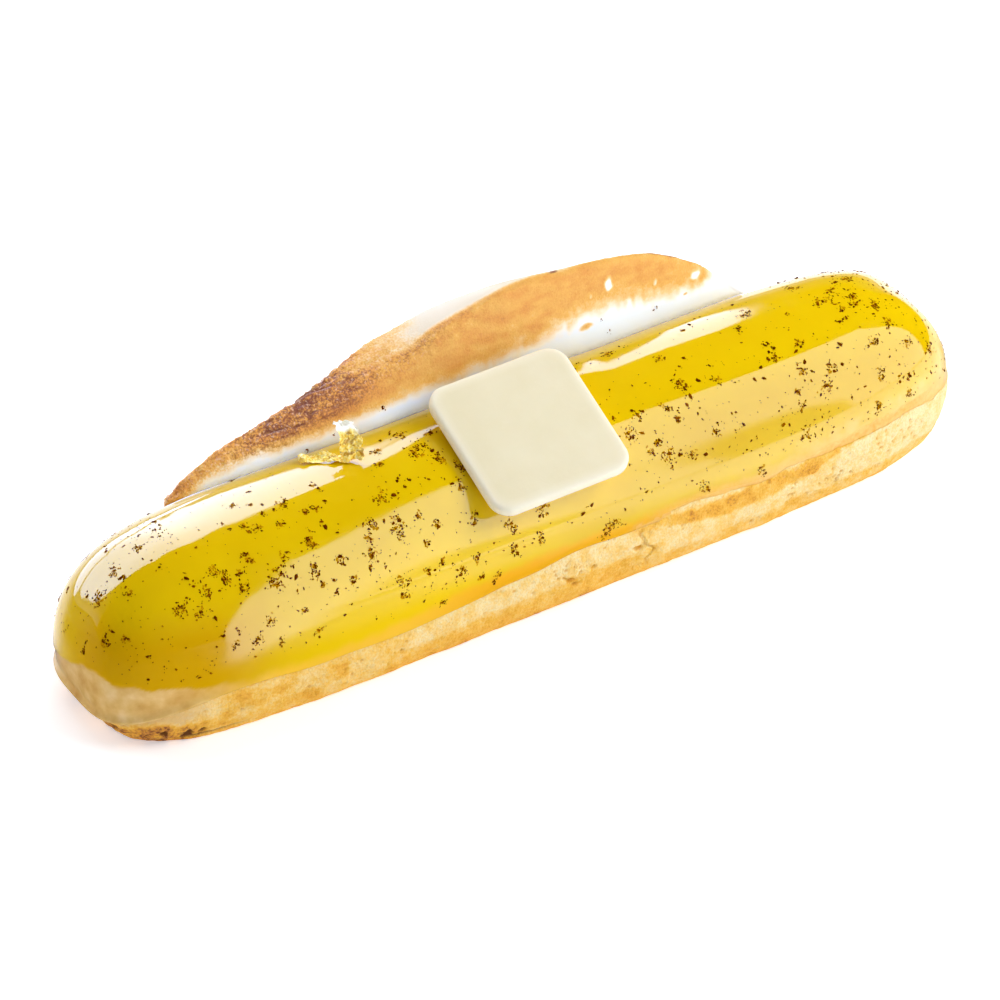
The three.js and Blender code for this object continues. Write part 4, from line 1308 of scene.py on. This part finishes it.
def grain_spots(glaze_surface, meringue_surface, face):
    """Every speck on the eclair: place, outward direction, radius and whether it is pale."""
    rng = np.random.default_rng(GRAIN_SEED)
    to_camera = Vector(camera_axes()[2])
    pixel = VIEW_DISTANCE / VIEW_FOCAL
    free = []
    for spot, radius in cad_specks():
        here, outward, _, _ = glaze_surface.find_nearest(Vector(spot))
        free.append((here, outward, PART_GRAIN * radius, False))
        free += scatter(glaze_surface, rng, here, outward, 0.55, 4, DUST_SIZES)
    rows, count = face.shape[:2]
    lone = 0
    clumps = 0
    while lone < LONE_GRAINS or clumps < BACK_CLUMPS:
        row = int(rng.integers(FIRST_ROW, rows - 1))
        spot = face[row, int(rng.integers(count))]
        thin = rng.random() > 0.25 + 0.75 * abs(np.cos(row / rows * math.pi / 2))
        if thin or not is_free(spot):
            continue
        here, outward, _, _ = glaze_surface.find_nearest(Vector(spot))
        if lone < LONE_GRAINS:
            lone += 1
            free.append((here, outward, 0.08 + 0.16 * rng.random() ** 3, False))
        elif outward.dot(to_camera) < 0.05:
            clumps += 1
            free += scatter(glaze_surface, rng, here, outward, 0.5 + 0.6 * rng.random(), 20, BACK_SIZES)
        else:
            clumps += IN_VIEW_SHARE
    found = [item for item in free if is_free(item[0])]
    for u, v, reach in SEEN_CLUMPS:
        here, outward = seen_spot(glaze_surface, u, v)
        if here is not None:
            wide = reach * pixel
            grains = int(7 + 0.4 * reach ** 2)
            found += scatter(glaze_surface, rng, here, outward, 0.95 * wide, grains, SEEN_SIZES)
            found += scatter(glaze_surface, rng, here, outward, 0.8 * wide, grains // 2, PALE_SIZES, True)
    for u, v, grains in SEEN_ON_MERINGUE:
        here, outward = seen_spot(meringue_surface, u, v)
        if here is not None:
            found += scatter(meringue_surface, rng, here, outward, 0.4, 3 * grains, MERINGUE_SIZES)
    return found


def speck_material():
    s = Shader("specks")
    grain = s.noise(0.25, 2.0)
    tone = s.math("ADD", s.mask("shade"), s.span(grain, 0.3, 0.7, -0.15, 0.15))
    colour = s.ramp(tone, [
        (0.0, srgb(80, 30, 0)), (0.4, srgb(106, 46, 0)), (0.75, srgb(142, 76, 0)), (1.0, srgb(200, 142, 2)),
    ])
    s.set(Base_Color=colour, Roughness=s.span(grain, 0.3, 0.7, 0.6, 0.8), Specular_IOR_Level=0.0)
    s.bump(grain, 0.04)
    return s.material


def speck_piece(spots):
    """All specks as one mesh of uneven flakes, each half sunk in what it lies on; pale ones are flatter."""
    rng = np.random.default_rng(GRAIN_SEED + 1)
    sides = np.arange(GRAIN_SIDES)
    after = (sides + 1) % GRAIN_SIDES
    top = np.full(GRAIN_SIDES, GRAIN_SIDES)
    flake = np.concatenate([np.stack([sides, after, top], -1), np.stack([after, sides, top + 1], -1)])
    points = []
    faces = []
    shades = []
    for k, (here, outward, radius, pale) in enumerate(spots):
        side = outward.orthogonal().normalized()
        other = outward.cross(side)
        long = radius * (0.8 + 0.8 * rng.random())
        short = radius * (0.55 + 0.4 * rng.random())
        thick = radius * (0.4 + 0.35 * rng.random()) * (0.25 if pale else 1)
        angle = 2 * math.pi * (sides + 0.5 * (rng.random(GRAIN_SIDES) - 0.5)) / GRAIN_SIDES
        reach = 0.65 + 0.6 * rng.random(GRAIN_SIDES)
        flat = np.column_stack([long * reach * np.cos(angle), short * reach * np.sin(angle)])
        turn = rng.random() * math.pi
        flat = flat @ np.array([[math.cos(turn), math.sin(turn)], [-math.sin(turn), math.cos(turn)]])
        rim = np.column_stack([flat, thick * (rng.random(GRAIN_SIDES) - 0.4)])
        shape = np.concatenate([rim, [[0, 0, thick], [0, 0, -thick]]])
        points.append(shape @ np.array([side, other, outward]) + np.array(here))
        faces.append(flake + (GRAIN_SIDES + 2) * k)
        shades.append(np.full(GRAIN_SIDES + 2, 1.0 if pale else 0.85 * rng.random()))
    masks = {"shade": np.concatenate(shades)}
    faces = np.concatenate(faces).tolist()
    return add_piece("specks", np.concatenate(points), faces, speck_material(), masks, "glaze",
                     rounded=False)


# Build the eclair

choux_piece()
glaze_inside, glaze_face = glaze_grid()
glaze = glaze_piece(glaze_inside, glaze_face)
meringue = meringue_piece()
plaque_piece()
leaf = leaf_piece()


def surface_of(piece):
    """A piece's faces for finding points on it, in the formulas' own frame."""
    corners = [Vector(v.co) / MM - Vector(SHIFT) for v in piece.data.vertices]
    return BVHTree.FromPolygons(corners, [p.vertices[:] for p in piece.data.polygons])


speck_piece(grain_spots(surface_of(glaze), surface_of(meringue), glaze_face))


# Floor, lights and camera

WHITE = (1, 1, 1)
# Radius of each ring of the floor, and how strongly the floor glows there
FLOOR_GLOW = [(120, 0.42), (260, 0.42), (420, 0.6), (700, 0.9), (3000, 1.0)]
FLOOR_TURNS = 64
FLOOR_LEVEL = -0.05
SKY = 0.18
SKY_MIRRORED = 0.02
# Each softbox stands on a plane this far away and tilted this much; its corners are steps aside and up on it
PANEL_FAR = 400.0
PANEL_TILT = 32.0
# The front softbox: its upper and lower edge, how bright it is above and below the lower one, and its colour
FRONT_AZIMUTH = 45
FRONT_TOP = [
    (-393, -257), (-360, -178), (-243, -20), (-178, 52), (-89, 150), (-60, 162), (26, 229),
    (97, 270), (125, 258), (141, 212), (144, 150), (150, 83), (200, -64), (214, -190),
]
FRONT_LOW = [
    (-360, -330), (-262, -310), (-240, -250), (-222, -205), (-205, -172), (-178, -150), (-164, -190),
    (-154, -300), (-130, -300), (-118, -150), (-104, -90), (-85, -64), (-66, -67), (-51, -93),
    (-42, -150), (-30, -300), (214, -300),
]
FRONT_GLOW = 3.2
FRONT_DIM = 0.8
FRONT_FADE = 45
FRONT_SHINE = (0.78, 0.84, 1.0)
FRONT_ROWS = 48
FRONT_COLUMNS = 60
FRONT_SINK = 8  # how far the front softbox runs on below the floor
# The rear softbox with the crest's shape cut out of it, and its part below a thin bar
REAR_AZIMUTH = 165
REAR_PANEL = [
    (-175, 113), (-154, 111), (-148, 130), (-140, 127), (-105, 138), (-82, 135), (-76, 158), (-82, 186),
    (-86, 272), (93, 428), (348, 227), (471, 102), (695, -171), (572, -141), (440, -87), (257, -35),
    (70, -137), (7, -190), (5, -163), (-7, -158), (-18, -125), (-30, -85), (-51, -3), (-75, 76),
    (-94, 99), (-105, 108), (-133, 87), (-132, 63), (-127, -16), (-128, -98), (-136, -123), (-146, -76),
    (-158, 4), (-174, 92),
]
REAR_LOW_PANEL = [(-10, -246), (5, -206), (70, -152), (257, -50), (440, -102), (560, -158), (640, -246)]
REAR_GLOW = 7.5
REAR_SHINE = (0.5, 0.66, 1.0)
# The mirrored floor: stretches of its grid by start, end and number of points, and its height
CARD_X = [(-330, -112, 12), (-105, 105, 71), (112, 540, 20)]
CARD_Y = [(-640, -220, 20), (-212, 117, 110), (125, 310, 12)]
CARD_LEVEL = 0.3
# How bright the mirrored floor is along X in front, and behind and to the right
FLOOR_SIDE = [
    (-330, 0), (-60, 0), (-40, 0.6), (-10, 0.7), (5, 1.4), (20, 1.35), (35, 2.0), (55, 2.8), (90, 2.8),
    (540, 2.4),
]
REAR_FLOOR = 1.8
RIGHT_FLOOR = 2.2
# The haze behind: its place, height and glow
HAZE_Y = 640.0
HAZE_TOP = 520
HAZE_LOW = 0.6
HAZE_HIGH = 0.16
# Height along X of the bright line that stands for the crest's foot, and its glow below and above
CREST_CARD = [(-53, 0.5), (-20, 0.7), (8, 1.1), (14, 2.0), (40, 1.7), (48.5, 0.9)]
CREST_GLOW = (1.0, 0.4)
CREST_COLUMNS = 80
# Soft lights: azimuth, elevation, distance and size in metres, power and colour
LIGHTS = {
    "key": (54, 42, 0.7, (0.5, 0.4), 3.3, WHITE),
    "top": (165, 60, 0.7, (0.6, 0.4), 2.0, WHITE),
    "fill": (-6, 24, 0.8, (0.5, 0.4), 1.12, (0.52, 0.68, 1)),
    "edge": (-145, 25, 0.8, (0.4, 0.4), 2.0, WHITE),
    "crest_fill": (-38, 14, 0.3, (0.2, 0.15), 0.42, (0.42, 0.6, 1)),
    "leaf_fill": (-20, 50, 0.3, (0.12, 0.12), 0.22, (1, 0.88, 0.6)),
}


def stage_material(name, colour, shine):
    """A plain stage colour that also glows, by its mesh's own glow values."""
    s = Shader(name)
    cloud = s.noise(400.0, 2.0)
    duller = tuple(0.985 * c for c in colour[:3]) + (1,)
    s.set(Base_Color=s.mix(cloud, colour, duller), Roughness=0.9)
    s.set(Emission_Color=shine + (1,), Emission_Strength=s.mask("glow"))
    return s.material


def stage_mesh(name, points, faces, material, glow):
    """A mesh of the stage, which isn't part of the eclair."""
    mesh = bpy.data.meshes.new(name)
    mesh.from_pydata([tuple(Vector(point) * MM) for point in points], [], faces)
    set_mask(mesh, "glow", glow)
    mesh.materials.append(material)
    piece = add_object(name, mesh)
    return piece


def floor():
    """A round white floor that glows a little near the eclair and more far away."""
    angle = 2 * np.pi * np.arange(FLOOR_TURNS) / FLOOR_TURNS
    level = np.full(FLOOR_TURNS, FLOOR_LEVEL)
    points = []
    glow = []
    for radius, shine in FLOOR_GLOW:
        points.append(np.column_stack([radius * np.cos(angle), radius * np.sin(angle), level]))
        glow.append(np.full(FLOOR_TURNS, shine))
    faces = stack_faces(len(points), FLOOR_TURNS) + [list(range(FLOOR_TURNS))[::-1]]
    upward = [face[::-1] for face in faces]
    white = stage_material("floor", srgb(250, 250, 250), WHITE)
    piece = stage_mesh("floor", np.concatenate(points), upward, white, np.concatenate(glow))
    piece.visible_glossy = False


def on_plane(azimuth, corners):
    """Points given by steps aside and up on a softbox's plane, which faces the eclair."""
    out = Vector(direction(azimuth, PANEL_TILT))
    side = Vector(level_right(azimuth))
    rise = side.cross(-out)
    return [out * PANEL_FAR + side * a + rise * b for a, b in corners]


def reflector(name, points, faces, glow, shine=WHITE):
    """A bright panel that only the glossy surfaces mirror."""
    piece = stage_mesh(name, points, faces, stage_material(name, (0, 0, 0, 1), shine), glow)
    piece.visible_camera = False
    piece.visible_diffuse = False
    piece.visible_shadow = False


def rear_softbox(name, corners):
    face = tuple(range(len(corners)))
    reflector(name, on_plane(REAR_AZIMUTH, corners), [face], np.full(len(corners), REAR_GLOW), REAR_SHINE)


def strip_faces(columns, rows):
    """Four-sided faces of a grid of points, column by column."""
    i, j = np.meshgrid(np.arange(columns - 1), np.arange(rows - 1), indexing="ij")
    a = (i * rows + j).ravel()
    return np.stack([a, a + rows, a + rows + 1, a + 1], -1).tolist()


def front_softbox():
    """The front softbox: a sharp upper edge, and a lower one that fades to a dim glow down to the floor."""
    top_a, top_b = np.array(FRONT_TOP, float).T
    low_a, low_b = np.array(FRONT_LOW, float).T
    a = np.unique(np.concatenate([top_a, np.linspace(top_a[0], top_a[-1], FRONT_COLUMNS)]))[:, None]
    ground = -PANEL_FAR * math.tan(math.radians(PANEL_TILT)) - FRONT_SINK
    b = ground + (np.interp(a, top_a, top_b) - ground) * np.linspace(0, 1, FRONT_ROWS)
    edge = np.interp(a, low_a, low_b)
    glow = FRONT_DIM + (FRONT_GLOW - FRONT_DIM) * smooth(edge - FRONT_FADE, edge + FRONT_FADE, b)
    places = np.stack(np.broadcast_arrays(a, b), -1).reshape(-1, 2)
    faces = strip_faces(len(a), FRONT_ROWS)
    reflector("front_panel", on_plane(FRONT_AZIMUTH, places), faces, glow, FRONT_SHINE)


def floor_card():
    """The lit floor as the glaze mirrors it: dim close by, brightest to the front left and behind."""
    x = np.concatenate([np.linspace(*stretch) for stretch in CARD_X])[:, None]
    y = np.concatenate([np.linspace(*stretch) for stretch in CARD_Y])
    away = np.hypot(np.clip(np.abs(x) - SPINE, 0, None), y) - WIDTH / 2
    wedge_edge = -14 - 0.394 * (y + 81)
    wedge_start = -44.5 - 0.19 * (y + 86)
    wedge = smooth(-4, 4, x - wedge_start) * smooth(18, -18, x - wedge_edge)
    wedge = wedge * smooth(16, 44, away - np.clip(x + 48, 0, 40))
    side = along(FLOOR_SIDE, x) * smooth(10, 40, away)
    side = side * (1 - 0.7 * smooth(110, 160, -y) * smooth(90, 50, x))
    # Close to the front softbox the floor fades to the softbox's own dim glow
    panel_foot = PANEL_FAR / math.cos(math.radians(PANEL_TILT))
    side = FRONT_DIM + (side - FRONT_DIM) * smooth(panel_foot, 0.5 * panel_foot, (x - y) * math.sqrt(0.5))
    front = smooth(10, -10, y) * np.maximum(FRONT_GLOW * wedge, side)
    left_edge = -80 - 0.618 * (y - 12)
    behind = np.maximum(smooth(-25, 40, y) * smooth(-90, -60, x), smooth(5, 25, y))
    far = 1 - 0.5 * smooth(60, 260, away)
    back = behind * smooth(-6, 6, x - left_edge) * REAR_FLOOR * smooth(1, 9, away) * far
    right = smooth(70, 110, x) * RIGHT_FLOOR * smooth(2, 60, away) * smooth(-60, 10, y)
    glow = np.maximum(np.maximum(front, back), right)
    points = np.stack(np.broadcast_arrays(x, y, CARD_LEVEL), -1).reshape(-1, 3)
    reflector("floor_card", points, strip_faces(len(x), len(y)), glow, FRONT_SHINE)


def rear_haze():
    """A faint glow low behind everything, which the upper rim of the glaze mirrors."""
    x = np.linspace(-900, 1000, 9)[:, None]
    z = np.linspace(0, HAZE_TOP, 27)
    glow = HAZE_LOW * smooth(170, 0, z) + HAZE_HIGH * smooth(HAZE_TOP, 200, z)
    points = np.stack(np.broadcast_arrays(x, HAZE_Y, z), -1).reshape(-1, 3)
    reflector("rear_haze", points, strip_faces(len(x), len(z)), np.tile(glow, len(x)), FRONT_SHINE)


def crest_card():
    """A low bright line along the foot of the crest, as the glaze mirrors it there."""
    x = np.linspace(CREST[0][0] + 1, CREST[-1][0] - 1, CREST_COLUMNS)
    foot = crest_lines(x)[0]
    points = []
    for here, y, z, tall in zip(x, foot + 0.1, glaze_top(x, foot), along(CREST_CARD, x)):
        points += [(here, y, z - 0.1), (here, y, z + tall)]
    reflector("crest_card", np.array(points) + SHIFT, strip_faces(len(x), 2), np.tile(CREST_GLOW, len(x)))


def area_light(name, azimuth, elevation, distance, size, power, colour):
    """A soft light that shades the eclair but isn't mirrored in it."""
    light = bpy.data.lights.new(name, "AREA")
    light.shape = "RECTANGLE"
    light.size, light.size_y = size
    light.energy = power
    light.color = colour
    lamp = add_object(name, light)
    out = Vector(direction(azimuth, elevation))
    lamp.location = out * distance
    lamp.rotation_euler = out.to_track_quat("Z", "Y").to_euler()
    lamp.visible_glossy = False
    lamp.visible_camera = False
    return lamp


def light_only(lamp, piece):
    """Keep a soft light to one piece."""
    lit = bpy.data.collections.new(lamp.name + "_lit")
    lit.objects.link(piece)
    lamp.light_linking.receiver_collection = lit


def world():
    """A dim white sky, dimmer still where it is mirrored and plain white behind the floor."""
    made = bpy.data.worlds.new("studio")
    bpy.context.scene.world = made
    made.use_nodes = True
    nodes = made.node_tree.nodes
    link = made.node_tree.links.new
    background = nodes["Background"]
    background.inputs["Color"].default_value = (1, 1, 1, 1)
    path = nodes.new("ShaderNodeLightPath")
    sky = nodes.new("ShaderNodeMix")
    sky.inputs["A"].default_value = SKY
    sky.inputs["B"].default_value = SKY_MIRRORED
    link(path.outputs["Is Glossy Ray"], sky.inputs["Factor"])
    seen = nodes.new("ShaderNodeMix")
    seen.inputs["B"].default_value = 1.0
    link(path.outputs["Is Camera Ray"], seen.inputs["Factor"])
    link(sky.outputs["Result"], seen.inputs["A"])
    link(seen.outputs["Result"], background.inputs["Strength"])


def camera():
    """The photo's camera, aimed so that the eclair lies where the photo shows it."""
    right, up, back = camera_axes()
    lens = bpy.data.cameras.new("camera")
    lens.sensor_width = SENSOR
    lens.lens = VIEW_FOCAL / FRAME_PIXELS * SENSOR
    lens.clip_start = 0.02
    lens.clip_end = 50
    eye = add_object("camera", lens)
    middle = FRAME_PIXELS / 2
    aside = (VIEW_MIDDLE[0] - middle) * VIEW_DISTANCE / VIEW_FOCAL
    down = (VIEW_MIDDLE[1] - middle) * VIEW_DISTANCE / VIEW_FOCAL
    target = VIEW_TARGET + SHIFT - right * aside + up * down
    eye.location = (target + back * VIEW_DISTANCE) * MM
    eye.rotation_euler = Matrix((right, up, back)).transposed().to_euler()
    bpy.context.scene.camera = eye


floor()
front_softbox()
rear_softbox("rear_panel", REAR_PANEL)
rear_softbox("rear_low_panel", REAR_LOW_PANEL)
floor_card()
crest_card()
rear_haze()
meringue.visible_glossy = False
lamps = {name: area_light(name, *values) for name, values in LIGHTS.items()}
light_only(lamps["crest_fill"], meringue)
light_only(lamps["leaf_fill"], leaf)
world()
camera()
bpy.context.scene.view_settings.view_transform = "Standard"
